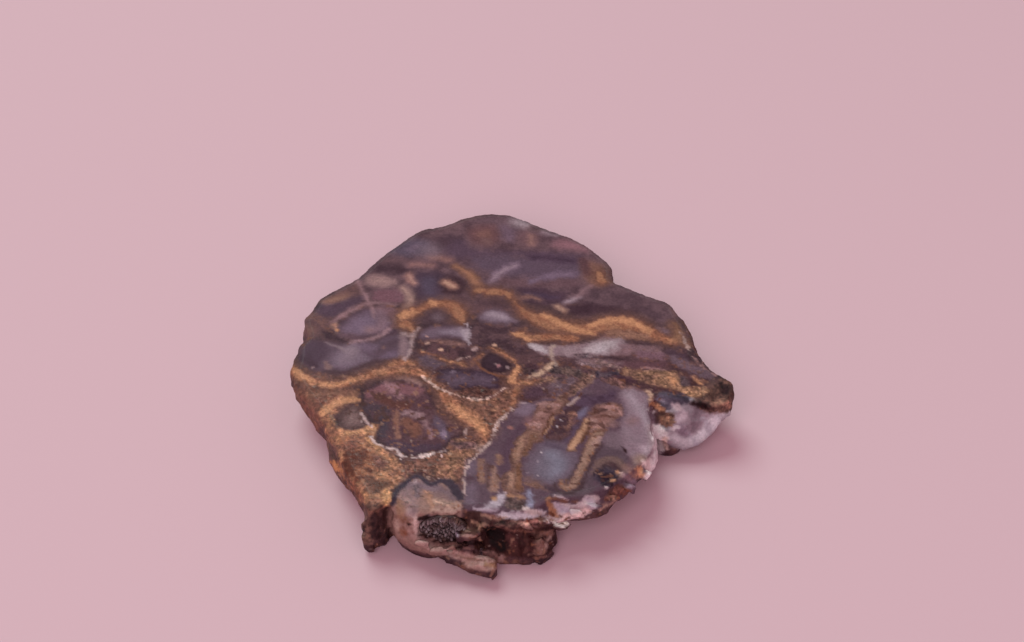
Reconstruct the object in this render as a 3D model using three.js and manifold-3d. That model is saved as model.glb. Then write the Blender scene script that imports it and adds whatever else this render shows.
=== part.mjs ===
// A moss agate slab: one slice of rock about 81 mm wide, 88 mm deep and 11 mm thick, lying flat on its sawn base.
//
// The top is one flat polished face. Round it runs the natural edge of the rock: worn and nearly upright at the back
// and left, and broken along the front, where a thin lip of chalcedony overhangs the base. The front left corner has
// a pointed spur, then a narrow gap, then a round nodule with a crystal-lined pocket and a long ledge below it.
// A milky quartz lobe hangs under the pointed right-hand tip.
//
// Millimetres, +Z up. The origin is under the middle of the slab's box, on the surface it rests on. The front is -Y.

import * as THREE from 'three';
import { ConvexGeometry } from 'three/addons/geometries/ConvexGeometry.js';
import { mergeVertices } from 'three/addons/utils/BufferGeometryUtils.js';
import Module from 'manifold-3d';

const wasm = await Module();
wasm.setup();

// ---------------------------------------------------------------- driving dimensions

const THICKNESS = 11;       // sawn base to polished face
const STATION_STEP = 1.25;  // spacing of the wall's columns round the edge
const WALL_ROUGHNESS = 0.5; // how far lumps and hollows move the wall
const LUMP_SIZE = 4.2;      // width of the wall's larger lumps
const SEAT_GAP = 0.3;       // clearance between the pocket's crystals and the rock

// How the edge goes down from the polished face. roll is how far the polished edge is rounded over, lipOut and lipZ
// place the wall's furthest point, and baseOut is where it meets the sawn base, all measured out from the outline.
const WALLS = {
  back: { roll: 0.6, lipOut: 0.4, lipZ: 6.5, baseOut: -1.4 },
  bevel: { roll: 1.3, lipOut: 0.8, lipZ: 7.5, baseOut: -1.6 },
  worn: { roll: 1.5, lipOut: 0, lipZ: 6.8, baseOut: -3.4 },
  bulge: { roll: 1.5, lipOut: 0.3, lipZ: 5.0, baseOut: -2.0 },
  cheek: { roll: 1.0, lipOut: -0.3, lipZ: 7.5, baseOut: -4.2 },
  spur: { roll: 0.5, lipOut: 0.1, lipZ: 6.0, baseOut: -1.6 },
  nodule: { roll: 2.2, lipOut: 0.2, lipZ: 7.5, baseOut: -2.4 },
  crust: { roll: 0.4, lipOut: 0.9, lipZ: 8.3, baseOut: -0.4 },
  chip: { roll: 0.3, lipOut: 2.2, lipZ: 6.9, baseOut: -5.0 },
  shell: { roll: 0.5, lipOut: 0.9, lipZ: 7.0, baseOut: -6.0 },
  lobe: { roll: 0.4, lipOut: 1.6, lipZ: 6.0, baseOut: -3.0 },
  tip: { roll: 0.8, lipOut: 0.3, lipZ: 7.4, baseOut: -3.0 },
};

// The polished face's outline, counter-clockwise from the right-hand tip, with the kind of wall below each point.
const OUTLINE = [
  [40.4, -8.2, 'tip'], [40.5, -5.0, 'tip'], [37.6, -2.0, 'bevel'], [35.2, 2.3, 'bevel'], [34.8, 6, 'bevel'],
  [34.1, 10, 'bevel'], [32.7, 13.4, 'bevel'], [30.5, 16.7, 'back'], [27.5, 18.3, 'back'], [23.8, 20.6, 'back'],
  [20.3, 23.1, 'back'], [20.5, 25.4, 'back'], [20, 27.8, 'back'], [17.5, 31.5, 'back'], [13.3, 35.8, 'back'],
  [8.4, 38.5, 'back'], [3.4, 41.8, 'back'], [-0.6, 43.8, 'back'], [-4.8, 43.8, 'back'], [-8.2, 42.7, 'back'],
  [-13.6, 39.9, 'back'], [-17.6, 38.5, 'back'], [-21.4, 34.5, 'back'], [-24.8, 30.5, 'back'], [-27, 27.3, 'back'],
  [-29.2, 23.8, 'back'], [-33.6, 20, 'back'], [-36.3, 17.4, 'back'], [-37.4, 13.9, 'back'], [-38.7, 11.9, 'back'],
  [-38.3, 9.6, 'back'], [-37.5, 6.9, 'back'], [-38.9, 4.4, 'back'], [-39.6, 1.2, 'worn'], [-39.9, -2.4, 'worn'],
  [-39.2, -5.2, 'worn'], [-36.8, -9.2, 'worn'], [-34.8, -12.6, 'worn'], [-32.6, -16.2, 'worn'],
  [-31.1, -19.6, 'bulge'], [-29.7, -23, 'bulge'], [-28.2, -26.8, 'cheek'], [-26.3, -30.2, 'cheek'],
  [-24.5, -33.2, 'spur'], [-23.8, -36, 'spur'], [-22.2, -36.6, 'spur'], [-20.7, -35.2, 'spur'],
  [-19.3, -35.7, 'nodule'], [-17.6, -37, 'nodule'], [-15, -37.8, 'nodule'], [-12, -37.9, 'nodule'],
  [-9.4, -37.3, 'nodule'], [-6.8, -36.1, 'crust'], [-4.6, -35.9, 'crust'], [-1.2, -36.4, 'crust'],
  [2.1, -36.7, 'crust'], [5.3, -35.6, 'crust'], [7.2, -34, 'chip'], [10, -33.4, 'chip'], [13, -33, 'chip'],
  [15.7, -31.8, 'chip'], [17.8, -30.7, 'shell'], [20.1, -28.9, 'shell'], [22.8, -26.2, 'shell'],
  [24.7, -23.6, 'shell'], [25.8, -20, 'shell'], [25.4, -15.4, 'shell'], [25.3, -11.6, 'lobe'],
  [26.8, -9.2, 'lobe'], [30, -9.8, 'lobe'], [34, -10.8, 'lobe'], [37.8, -11.4, 'tip'], [39.6, -10.4, 'tip'],
];

// ---------------------------------------------------------------- helpers

const mix = THREE.MathUtils.lerp;

// A closed geometry as a solid that can be joined and cut.
function solidOf(geometry) {
  const bare = geometry.clone();
  bare.deleteAttribute('normal');
  bare.deleteAttribute('uv');
  const merged = mergeVertices(bare, 1e-4);
  return new wasm.Manifold(new wasm.Mesh({
    numProp: 3,
    vertProperties: new Float32Array(merged.attributes.position.array),
    triVerts: new Uint32Array(merged.index.array),
  }));
}

function geometryOf(solid) {
  const mesh = solid.getMesh();
  const positions = new Float32Array(mesh.numVert * 3);
  for (let i = 0; i < mesh.numVert; i++) {
    positions.set(mesh.vertProperties.subarray(i * mesh.numProp, i * mesh.numProp + 3), i * 3);
  }
  const geometry = new THREE.BufferGeometry()
    .setAttribute('position', new THREE.BufferAttribute(positions, 3))
    .setIndex(new THREE.BufferAttribute(mesh.triVerts, 1))
    .toNonIndexed();
  geometry.computeVertexNormals();
  return geometry;
}

// One number from -1 to 1 for each whole-numbered place.
function scatter(i, j, k) {
  const wave = Math.sin(i * 127.1 + j * 311.7 + k * 74.7) * 43758.5453;
  return 2 * (wave - Math.floor(wave)) - 1;
}

// Smooth lumps from -1 to 1, one unit of x, y, z to a lump.
function lumps(x, y, z) {
  const [i, j, k] = [x, y, z].map(Math.floor);
  const [u, v, w] = [x - i, y - j, z - k].map((t) => t * t * (3 - 2 * t));
  const row = (b, c) => mix(scatter(i, b, c), scatter(i + 1, b, c), u);
  const sheet = (c) => mix(row(j, c), row(j + 1, c), v);
  return mix(sheet(k), sheet(k + 1), w);
}

// The roughness of broken rock at a place: large lumps with smaller ones on them.
function roughness(x, y, z) {
  return lumps(x / LUMP_SIZE, y / LUMP_SIZE, z / LUMP_SIZE)
    + 0.6 * lumps(x / LUMP_SIZE * 2.3 + 9, y / LUMP_SIZE * 2.3, z / LUMP_SIZE * 2.3);
}

// A flat-faced block of rock: the convex body round a few corners.
function block(...corners) {
  return solidOf(new ConvexGeometry(corners.map(([x, y, z]) => new THREE.Vector3(x, y, z))));
}

// A rounded boulder with a rough surface.
function boulder([x, y, z], [rx, ry, rz], detail, rough) {
  const geometry = new THREE.IcosahedronGeometry(1, detail);
  const place = geometry.attributes.position;
  for (let i = 0; i < place.count; i++) {
    const p = new THREE.Vector3().fromBufferAttribute(place, i);
    const swell = 1 + rough * roughness(x + p.x * rx, y + p.y * ry, z + p.z * rz);
    place.setXYZ(i, x + p.x * rx * swell, y + p.y * ry * swell, z + p.z * rz * swell);
  }
  return solidOf(geometry);
}

// ---------------------------------------------------------------- the slice: outline and wall

// Columns round the edge, each with its place on the outline, its outward direction and its own wall.
function wallColumns() {
  const curve = new THREE.CatmullRomCurve3(OUTLINE.map(([x, y]) => new THREE.Vector3(x, y, 0)), true, 'centripetal');
  const count = OUTLINE.length;
  const columns = [];
  OUTLINE.forEach(([x, y, kind], i) => {
    const [nextX, nextY, nextKind] = OUTLINE[(i + 1) % count];
    const steps = Math.max(1, Math.round(Math.hypot(nextX - x, nextY - y) / STATION_STEP));
    for (let s = 0; s < steps; s++) {
      const t = s / steps;
      const u = (i + t) / count;
      const point = curve.getPoint(u);
      const along = curve.getTangent(u);
      const wall = {};
      for (const key of Object.keys(WALLS[kind])) {
        wall[key] = mix(WALLS[kind][key], WALLS[nextKind][key], t);
      }
      columns.push({ point, out: new THREE.Vector3(along.y, -along.x, 0), wall });
    }
  });
  return columns;
}

// Averages each column's outward direction with its neighbours', so that walls don't cross at the notches.
function evenOut(columns, reach) {
  return columns.map((column, i) => {
    const out = new THREE.Vector3();
    for (let k = -reach; k <= reach; k++) {
      out.add(columns[(i + k + columns.length) % columns.length].out);
    }
    return { ...column, out: out.normalize() };
  });
}

// The wall's section, from the polished face to the base, as [out, z, how much of the roughness it takes].
function wallSection({ roll, lipOut, lipZ, baseOut }) {
  return [
    [-roll, THICKNESS, 0],
    [-0.35 * roll, THICKNESS - 0.16 * roll, 0],
    [0, THICKNESS - 0.55 * roll, 0.15],
    [0.6 * lipOut, mix(THICKNESS - 0.55 * roll, lipZ, 0.5), 0.7],
    [lipOut, lipZ, 1],
    [mix(lipOut, baseOut, 0.24), 0.74 * lipZ, 1],
    [mix(lipOut, baseOut, 0.55), 0.46 * lipZ, 1],
    [mix(lipOut, baseOut, 0.82), 0.2 * lipZ, 0.9],
    [baseOut, 0, 0.6],
  ];
}

function sliceSolid() {
  const columns = evenOut(wallColumns(), 5);
  const positions = [];
  const faces = [];
  let levels = 0;
  for (const { point, out, wall } of columns) {
    const section = wallSection(wall);
    levels = section.length;
    for (const [reach, z, share] of section) {
      const x = point.x + out.x * reach;
      const y = point.y + out.y * reach;
      const push = share * WALL_ROUGHNESS * roughness(x, y, z);
      const lift = z > 0 && z < lerpTop ? share * 0.4 * WALL_ROUGHNESS * lumps(x / 2, y / 2, z) : 0;
      positions.push(x + out.x * push, y + out.y * push, z + lift);
    }
  }
  const at = (column, level) => (column % columns.length) * levels + level;
  for (let c = 0; c < columns.length; c++) {
    for (let l = 0; l + 1 < levels; l++) {
      faces.push(at(c, l), at(c, l + 1), at(c + 1, l + 1), at(c, l), at(c + 1, l + 1), at(c + 1, l));
    }
  }
  for (const [level, flip] of [[0, false], [levels - 1, true]]) {
    const ring = columns.map((_, c) => {
      const n = at(c, level) * 3;
      return new THREE.Vector2(positions[n], positions[n + 1]);
    });
    for (const [a, b, c] of THREE.ShapeUtils.triangulateShape(ring, [])) {
      faces.push(at(a, level), at(flip ? c : b, level), at(flip ? b : c, level));
    }
  }
  const geometry = new THREE.BufferGeometry()
    .setAttribute('position', new THREE.Float32BufferAttribute(positions, 3))
    .setIndex(faces);
  return solidOf(geometry);
}

const lerpTop = THICKNESS - 1.2; // the wall isn't lifted above this, so that the polished edge stays crisp

// ---------------------------------------------------------------- the broken front

// The pointed spur at the left corner, and the narrow gap between it and the nodule.
const spur = block(
  [-23.7, -36.6, 10.4], [-24.5, -33.4, 9], [-24.6, -36.3, 6], [-24.2, -36.4, 0], [-24, -32, 0],
  [-20.9, -34.5, 0], [-20.4, -32, 0], [-21.8, -36.6, 10], [-21, -33, 9.5], [-22.6, -36.5, 3],
);
const spurGap = block(
  [-21.7, -38.5, 10.8], [-18.8, -38.5, 10.8], [-20.4, -35.2, 10.8],
  [-21.6, -38.5, -1], [-17.6, -38.5, -1], [-19.6, -31.4, -1], [-20.2, -32.4, 8],
);

const nodule = boulder([-13.4, -33.9, 5.2], [6.5, 5.2, 7], 5, 0.05);

// The nodule's broken skin, which sweeps round its front and ends in a blunt prong, as [x, y, z, radius].
const SKIN = [
  [-18.3, -35, 7, 1.6], [-17.4, -36.6, 5.4, 1.5], [-14.6, -38.2, 4.8, 1.5], [-11.4, -39.2, 4.2, 1.5],
  [-8.2, -40.2, 3.6, 1.6], [-5.2, -41.5, 2.9, 1.9], [-3, -41.9, 2.8, 2.1],
];
const PRONG_END = -1.6;

// Lumps of rock in and beside the pocket, as [x, y, z], [rx, ry, rz].
const LUMPS = [
  [[-5.9, -36.9, 6.7], [2.3, 1.7, 1.8]],
  [[-3.4, -36.6, 8.3], [1.7, 1.6, 1.3]],
  [[-6.8, -38.4, 3.3], [2.2, 1.8, 1.6]],
];

// The dark footing under the broken edge, right of the prong.
const footing = block(
  [-5, -37.6, 0], [-4.6, -37, 3], [-1.4, -39.1, 0], [3.5, -39.2, 0], [7.1, -37.2, 0], [8.6, -36.1, 1.6], [8.7, -35.4, 5], [3.4, -38.1, 5.4],
  [0.4, -37.2, 7.4], [2, -36, 8], [7.4, -34.4, 8], [0, -33, 0], [8.4, -32, 0], [5.2, -38.7, 2.6],
);

// The milky lobe under the right-hand tip, and the small brown heel below it.
const quartzLobe = block(
  [25.4, -9.6, 10.2], [31, -9.6, 10], [36.6, -11, 9.6], [38.8, -11.6, 7.4], [37.6, -12.6, 5.4],
  [35, -14.2, 3.8], [32, -14.6, 2.4], [28.4, -14.6, 4.2], [25.4, -14, 6], [31, -13.5, 6.8],
  [29, -9, 2], [36, -9, 4], [24.6, -9, 2],
);
const heel = boulder([29.4, -11.4, 1.2], [2.7, 3.0, 2.6], 1, 0.2);

// Shell-shaped flakes broken off the overhanging lip, as [x, y, z], [rx, ry, rz].
const CHIPS = [
  [[6.6, -38.4, 9.6], [1.7, 2.8, 2.6]],
  [[1.4, -39.4, 11.6], [3.4, 2.6, 2.0]],
  [[11.6, -37.4, 11.4], [4.4, 3.6, 2.4]],
  [[17, -34.6, 9.2], [2.6, 2.2, 2.4]],
  [[20.8, -31.6, 11], [3.2, 2.4, 2.0]],
  [[26.6, -25.2, 10.2], [2.2, 3.2, 2.4]],
  [[28, -17.2, 10.8], [2.6, 3.4, 1.8]],
];

// Balls joined into one ridge, each pair of neighbours under one skin.
function ridge(balls) {
  const cloud = ([x, y, z, r]) => {
    const place = new THREE.IcosahedronGeometry(r, 1).attributes.position;
    return Array.from({ length: place.count }, (_, i) => {
      const p = new THREE.Vector3().fromBufferAttribute(place, i);
      return p.multiplyScalar(1 + 0.1 * scatter(...p.toArray().map(Math.round))).add(new THREE.Vector3(x, y, z));
    });
  };
  return balls.slice(1)
    .map((ball, i) => solidOf(new ConvexGeometry([...cloud(balls[i]), ...cloud(ball)])))
    .reduce((whole, piece) => whole.add(piece));
}

// ---------------------------------------------------------------- the pocket and its crystals

const POCKET = { centre: [-9.6, -38.5, 7.2], radii: [5.8, 3.2, 2.7] };
const DRUSE_RIGHT = -9.4; // the crystals fill the pocket up to here, where the lumps of rock begin
const CRUST = 0.55;       // thickness of the crust that the crystals grow on
const POINT_WIDTH = 0.9;
const POINT_LENGTH = 1.3;

const grow = (radii, by) => radii.map((r) => r + by);
const box = ([x0, y0, z0], [x1, y1, z1]) => (
  block(...[x0, x1].flatMap((x) => [y0, y1].flatMap((y) => [z0, z1].map((z) => [x, y, z]))))
);
const pocket = boulder(POCKET.centre, POCKET.radii, 3, 0.05);

// A six-sided quartz point standing at a place, its tip towards aim.
function quartzPoint(place, aim, width, length) {
  const profile = [[0, -0.6 * length], [0.5 * width, -0.6 * length], [0.46 * width, 0.35 * length], [0, length]];
  const geometry = new THREE.LatheGeometry(profile.map(([r, h]) => new THREE.Vector2(r, h)), 6);
  const turn = new THREE.Quaternion().setFromUnitVectors(new THREE.Vector3(0, 1, 0), aim);
  geometry.applyQuaternion(turn).translate(...place.toArray());
  return solidOf(geometry);
}

// A thin crust on the left of the pocket's wall, open to the front, with quartz points growing out of it.
function druseSolid() {
  const [cx, cy, cz] = POCKET.centre;
  const seatRadii = grow(POCKET.radii, -SEAT_GAP);
  const seat = boulder(POCKET.centre, seatRadii, 3, 0.05);
  let crust = seat.subtract(boulder([cx, cy - 0.35, cz], grow(seatRadii, -CRUST), 2, 0.05));
  const [rx, ry, rz] = grow(seatRadii, -0.7 * CRUST);
  [-0.62, -0.2, 0.22, 0.62].forEach((height, row) => {
    const across = Math.round(9 * Math.sqrt(1 - height * height));
    for (let n = 0; n < across; n++) {
      const side = -0.86 + 1.1 * (n + 0.5 * (row % 2)) / (across - 0.5);
      const deep = Math.sqrt(Math.max(0.04, 1 - height * height - side * side * 0.8));
      const place = new THREE.Vector3(cx + rx * side, cy + ry * deep, cz + rz * height);
      const lean = new THREE.Vector3(-side + 0.3 * scatter(n, row, 1), -1.3 * deep, -height + 0.3 * scatter(n, row, 2));
      const size = 1 + 0.25 * scatter(n, row, 3);
      crust = crust.add(quartzPoint(place, lean.normalize(), POINT_WIDTH * size, POINT_LENGTH * size));
    }
  });
  const behindFront = box([cx - 9, cy - 0.2, cz - 9], [DRUSE_RIGHT, cy + 9, cz + 9]);
  return crust.intersect(seat).intersect(behindFront);
}

// ---------------------------------------------------------------- the whole slab

const sheet = box([-60, -60, 0], [60, 60, THICKNESS]); // between the two sawn faces
const beyondProng = box([PRONG_END, -60, -1], [9, -39.5, THICKNESS]);

let rock = sliceSolid().add(quartzLobe).add(heel).add(spur).subtract(spurGap);
for (const [centre, radii] of CHIPS) rock = rock.subtract(boulder(centre, radii, 2, 0.06));
rock = rock.add(footing).add(nodule).add(ridge(SKIN).subtract(beyondProng)).subtract(pocket);
for (const [centre, radii] of LUMPS) rock = rock.add(boulder(centre, radii, 1, 0.22));
rock = rock.intersect(sheet);

const agate = new THREE.MeshStandardMaterial({ color: 0x6e5547, roughness: 0.35, metalness: 0 });
const quartz = new THREE.MeshStandardMaterial({ color: 0x8d8590, roughness: 0.2, metalness: 0 });

const slab = new THREE.Mesh(geometryOf(rock), agate);
slab.name = 'agate_slab';

const druse = new THREE.Mesh(geometryOf(druseSolid()), quartz);
druse.name = 'pocket_druse';

const group = new THREE.Group();
group.add(slab, druse);

// The origin is under the middle of the slab's box.
const middle = new THREE.Box3().setFromObject(group).getCenter(new THREE.Vector3());
group.position.set(-middle.x, -middle.y, 0);

export default group;
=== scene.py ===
import math

import bmesh
import bpy
import numpy as np
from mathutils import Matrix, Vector


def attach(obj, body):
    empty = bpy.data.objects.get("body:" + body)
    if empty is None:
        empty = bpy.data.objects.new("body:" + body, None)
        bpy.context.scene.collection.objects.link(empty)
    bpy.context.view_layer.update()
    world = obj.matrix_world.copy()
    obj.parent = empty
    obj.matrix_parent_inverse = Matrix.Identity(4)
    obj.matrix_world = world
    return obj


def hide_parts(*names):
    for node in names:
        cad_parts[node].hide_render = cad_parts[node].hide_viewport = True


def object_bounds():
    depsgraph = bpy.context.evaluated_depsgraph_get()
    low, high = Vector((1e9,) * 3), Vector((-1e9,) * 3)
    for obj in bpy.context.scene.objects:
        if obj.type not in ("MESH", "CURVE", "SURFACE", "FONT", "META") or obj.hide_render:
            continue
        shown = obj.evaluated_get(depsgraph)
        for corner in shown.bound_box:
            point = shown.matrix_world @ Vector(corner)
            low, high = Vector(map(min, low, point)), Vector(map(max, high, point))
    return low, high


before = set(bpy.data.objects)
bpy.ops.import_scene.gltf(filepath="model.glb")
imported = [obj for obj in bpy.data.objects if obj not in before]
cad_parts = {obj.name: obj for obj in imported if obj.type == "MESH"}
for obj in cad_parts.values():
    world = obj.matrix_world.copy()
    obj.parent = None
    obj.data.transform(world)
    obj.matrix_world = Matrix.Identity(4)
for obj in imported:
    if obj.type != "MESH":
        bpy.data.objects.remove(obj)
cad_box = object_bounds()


# ---------------------------------------------------------------------------------------
# The table, the lamps and the camera. The slab lies flat on a pale pink board. A wide soft
# lamp hangs high behind it, a weaker one stands low in front, and pink light comes evenly
# from all round.
# ---------------------------------------------------------------------------------------
scene = bpy.context.scene
scene.view_settings.view_transform = "Standard"


def linear(red, green, blue):
    """A colour as the eye names it, 0 to 255, turned into the light that it sends back."""
    return tuple(((c / 255 + 0.055) / 1.055) ** 2.4 if c > 10 else c / 255 / 12.92
                 for c in (red, green, blue))


def new_material(name):
    material = bpy.data.materials.new(name)
    material.use_nodes = True
    return material, material.node_tree, material.node_tree.nodes["Principled BSDF"]


def feed(tree, node, inputs):
    """Sets a node's inputs to values, or links them to what other nodes give."""
    for name, value in inputs.items():
        if isinstance(value, bpy.types.NodeSocket):
            tree.links.new(value, node.inputs[name])
        else:
            node.inputs[name].default_value = value


BOARD_PINK = (213, 176, 185)
BOARD_HALF = 1.4
AIM = Vector((0.000212, 0.023109, 0.0))
CAMERA_DISTANCE = 0.338
CAMERA_HEIGHT = math.radians(42)
LAMP_AT = Vector((-0.55, 0.75, 1.60))
LAMP_WIDTH = 1.2
LAMP_POWER = 21.0
LAMP_COLOUR = (0.705, 1.0, 0.912)
FILL_AT = Vector((-0.35, -1.20, 1.05))
FILL_WIDTH = 1.2
FILL_POWER = 11.3
FILL_COLOUR = (1.0, 0.90, 0.93)
ROOM_LIGHT = 0.40
ROOM_COLOUR = (1.0, 0.68, 0.775, 1)

board_mesh = bpy.data.meshes.new("board")
corners = [(x * BOARD_HALF, y * BOARD_HALF, 0) for x, y in [(-1, -1), (1, -1), (1, 1), (-1, 1)]]
board_mesh.from_pydata(corners, [], [(0, 1, 2, 3)])
board = bpy.data.objects.new("board", board_mesh)
scene.collection.objects.link(board)
board_paint, tree, shader = new_material("board_paint")
feed(tree, shader, {"Base Color": (*linear(*BOARD_PINK), 1), "Roughness": 0.85,
                    "Specular IOR Level": 0.1})
board_mesh.materials.append(board_paint)


def hang_lamp(name, at, width, power, colour):
    """A round soft lamp that faces the slab."""
    data = bpy.data.lights.new(name, "AREA")
    data.shape = "DISK"
    data.size = width
    data.energy = power
    data.color = colour
    lamp = bpy.data.objects.new(name, data)
    lamp.location = at
    lamp.rotation_euler = (-at).to_track_quat("-Z", "Y").to_euler()
    scene.collection.objects.link(lamp)


hang_lamp("lamp", LAMP_AT, LAMP_WIDTH, LAMP_POWER, LAMP_COLOUR)
hang_lamp("fill", FILL_AT, FILL_WIDTH, FILL_POWER, FILL_COLOUR)

room = bpy.data.worlds.new("room")
room.use_nodes = True
feed(room.node_tree, room.node_tree.nodes["Background"],
     {"Color": ROOM_COLOUR, "Strength": ROOM_LIGHT})
scene.world = room

camera_data = bpy.data.cameras.new("camera")
camera_data.lens = 60
camera_data.sensor_width = 36
camera_data.clip_start = 0.01
camera = bpy.data.objects.new("camera", camera_data)
sight = Vector((0, math.cos(CAMERA_HEIGHT), -math.sin(CAMERA_HEIGHT)))
camera.location = AIM - CAMERA_DISTANCE * sight
camera.rotation_euler = sight.to_track_quat("-Z", "Y").to_euler()
scene.collection.objects.link(camera)
scene.camera = camera


# ---------------------------------------------------------------------------------------
# The slab: one piece of moss agate and jasper, sawn 11 mm thick and polished on top. Its
# edges and its front keep the broken stone as it was found. The colours are the stone's own
# bands, pools and veins, so they run down through the slab and are laid on its mesh in mm.
# ---------------------------------------------------------------------------------------
TOP = 11.0
MM = 1000.0
COARSE_MESH = 0.00036
FINE_MESH = 0.00032
UNDERSIDE_THINNED = 0.955
HUMP_DEPTH = 0.45
RIDGE_DEPTH = 0.30
TIP_RIDGE_DEPTH = 0.7
CRUMBLE_DEPTH = 0.75
GRIT_DEPTH = 0.16
ROOF_AT = (-13.0, -38.0, 8.9)
ROOF_HALF = (2.6, 2.4, 1.8)
ROOF_RAISED = 0.9
ROCK_CORNERS = 13


def mottle(points, size, seed):
    """Smooth random values from 0 to 1 at each point, about one hump to every size mm."""
    cell = points / size + 31.7 * seed
    base = np.floor(cell).astype(np.int64)
    part = cell - base
    part = part * part * (3 - 2 * part)
    total = np.zeros(len(points))
    for corner in range(8):
        step = np.array([corner & 1, corner >> 1 & 1, corner >> 2])
        weight = np.prod(np.where(step == 1, part, 1 - part), axis=1)
        key = ((base + step) * np.array([73856093, 19349663, 83492791])).sum(axis=1) + seed * 7919
        key = (key ^ (key >> 13)) * 1274126177 & 0x7FFFFFFF
        total += weight * ((key ^ (key >> 15)) & 0xFFFF) / 65535
    return total


def cloud(points, size, seed):
    """The same with finer humps added on the coarse ones, from -1 to 1."""
    total = mottle(points, size, seed) + 0.5 * mottle(points, size / 2.1, seed + 1)
    total = total + 0.25 * mottle(points, size / 4.3, seed + 2)
    return total / 1.75 * 2 - 1


def smooth(low, high, value):
    part = np.clip((value - low) / (high - low), 0, 1)
    return part * part * (3 - 2 * part)


def finished_mesh(piece, name):
    """The piece's mesh with its modifiers applied, as a plain mesh of its own."""
    evaluated = piece.evaluated_get(bpy.context.evaluated_depsgraph_get())
    mesh = bpy.data.meshes.new_from_object(evaluated)
    mesh.name = name
    piece.modifiers.clear()
    return mesh


def read_points(mesh, what):
    """The places or the normals of a mesh's points, as rows of three."""
    values = np.empty(len(mesh.vertices) * 3)
    mesh.vertices.foreach_get(what, values)
    return values.reshape(-1, 3)


def joined_copy(node_name, name):
    """A copy of a solid from the frame with its loose triangles joined."""
    piece = bpy.data.objects.new(name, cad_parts[node_name].data.copy())
    scene.collection.objects.link(piece)
    solid = bmesh.new()
    solid.from_mesh(piece.data)
    bmesh.ops.remove_doubles(solid, verts=solid.verts, dist=1e-6)
    solid.to_mesh(piece.data)
    solid.free()
    piece.data.materials.clear()
    return piece


def even_out(piece, size):
    """Gives a piece faces of one size all over."""
    remesh = piece.modifiers.new("even", "REMESH")
    remesh.mode = "VOXEL"
    remesh.voxel_size = size
    piece.data = finished_mesh(piece, piece.name)


def stone_faces(place, normal):
    """Where the stone is polished, where it is sawn, and where it is broken."""
    polished = smooth(10.6, 10.9, place[:, 2]) * smooth(0.975, 0.997, normal[:, 2])
    sawn = smooth(0.5, 0.15, place[:, 2]) * smooth(0.5, 0.85, -normal[:, 2])
    return polished, sawn, 1 - np.maximum(polished, sawn)


# The broken front carries angular bits of stone, each given as x, y, z and its half sizes:
# the two sides of the spur, the lumps right of the pocket, the chips under the front edge,
# the rounded rock of the footing, the ridges and the blunt end of the prong, the rim of
# the pocket, and a chip at the right end of the front edge.
ROCKS = [(-23.6, -36.5, 7.4, 1.7, 0.9, 2.3), (-24.6, -36.2, 3.2, 1.3, 1.0, 2.4),
         (-22.7, -36.9, 4.4, 1.1, 0.8, 2.0), (-23.8, -36.9, 1.6, 0.9, 0.7, 1.2),
         (-6.7, -39.0, 7.3, 1.9, 1.2, 1.2), (-8.6, -38.0, 6.5, 1.1, 1.1, 0.9),
         (-5.0, -38.3, 6.3, 1.2, 0.9, 0.9), (-7.4, -40.2, 5.6, 1.6, 0.8, 0.8),
         (-4.4, -37.9, 8.6, 1.3, 0.9, 0.9), (-1.8, -38.0, 8.9, 1.4, 0.8, 0.7),
         (0.6, -38.4, 8.5, 1.6, 0.9, 0.9), (3.0, -38.1, 8.6, 1.3, 0.9, 0.8),
         (5.2, -37.4, 8.8, 1.5, 0.9, 1.0), (8.7, -37.4, 8.4, 1.7, 1.2, 1.3),
         (-1.0, -37.9, 1.9, 1.7, 1.5, 2.3), (1.9, -38.5, 2.2, 2.1, 1.5, 2.7),
         (5.4, -38.3, 2.9, 2.3, 1.5, 3.3), (3.6, -38.6, 4.6, 1.4, 1.0, 1.6),
         (-3.6, -42.4, 2.4, 1.4, 1.5, 2.1), (-4.6, -42.7, 3.6, 1.4, 1.2, 1.1),
         (-6.8, -42.3, 3.1, 1.7, 1.1, 1.1), (-9.6, -41.3, 4.0, 1.7, 1.0, 0.9),
         (-12.2, -40.6, 5.3, 1.7, 0.8, 0.7), (-14.9, -39.8, 6.3, 1.4, 0.8, 0.9),
         (11.0, -35.6, 9.3, 1.3, 0.9, 0.8), (14.2, -34.4, 9.2, 1.5, 0.8, 1.0),
         (17.6, -32.4, 9.3, 1.3, 0.9, 0.9), (20.4, -30.0, 9.2, 1.4, 1.0, 1.0),
         (-8.5, -39.3, 7.1, 0.8, 0.8, 1.4), (-9.8, -40.3, 5.9, 0.9, 0.7, 0.7),
         (23.4, -26.2, 8.9, 1.5, 1.2, 1.2)]
chance = np.random.default_rng(5)


def add_rock(solid, x, y, z, *half):
    """Adds a broken lump with flat faces: the skin over points set round an egg shape."""
    points = chance.normal(size=(ROCK_CORNERS, 3))
    points /= (np.abs(points) ** 4).sum(axis=1)[:, None] ** 0.25
    points = (points * half * chance.uniform(0.85, 1.1, (ROCK_CORNERS, 1)) + (x, y, z)) / MM
    corners = [solid.verts.new(point) for point in points]
    skin = bmesh.ops.convex_hull(solid, input=corners)
    loose = [corner for corner in skin["geom_interior"] if isinstance(corner, bmesh.types.BMVert)]
    bmesh.ops.delete(solid, geom=loose, context="VERTS")


def clear_of_rock(place):
    """Where the smooth lobe of milky quartz is, below the right end."""
    return smooth(26.5, 29, place[:, 0]) * smooth(-2.5, -5, place[:, 1])


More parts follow.
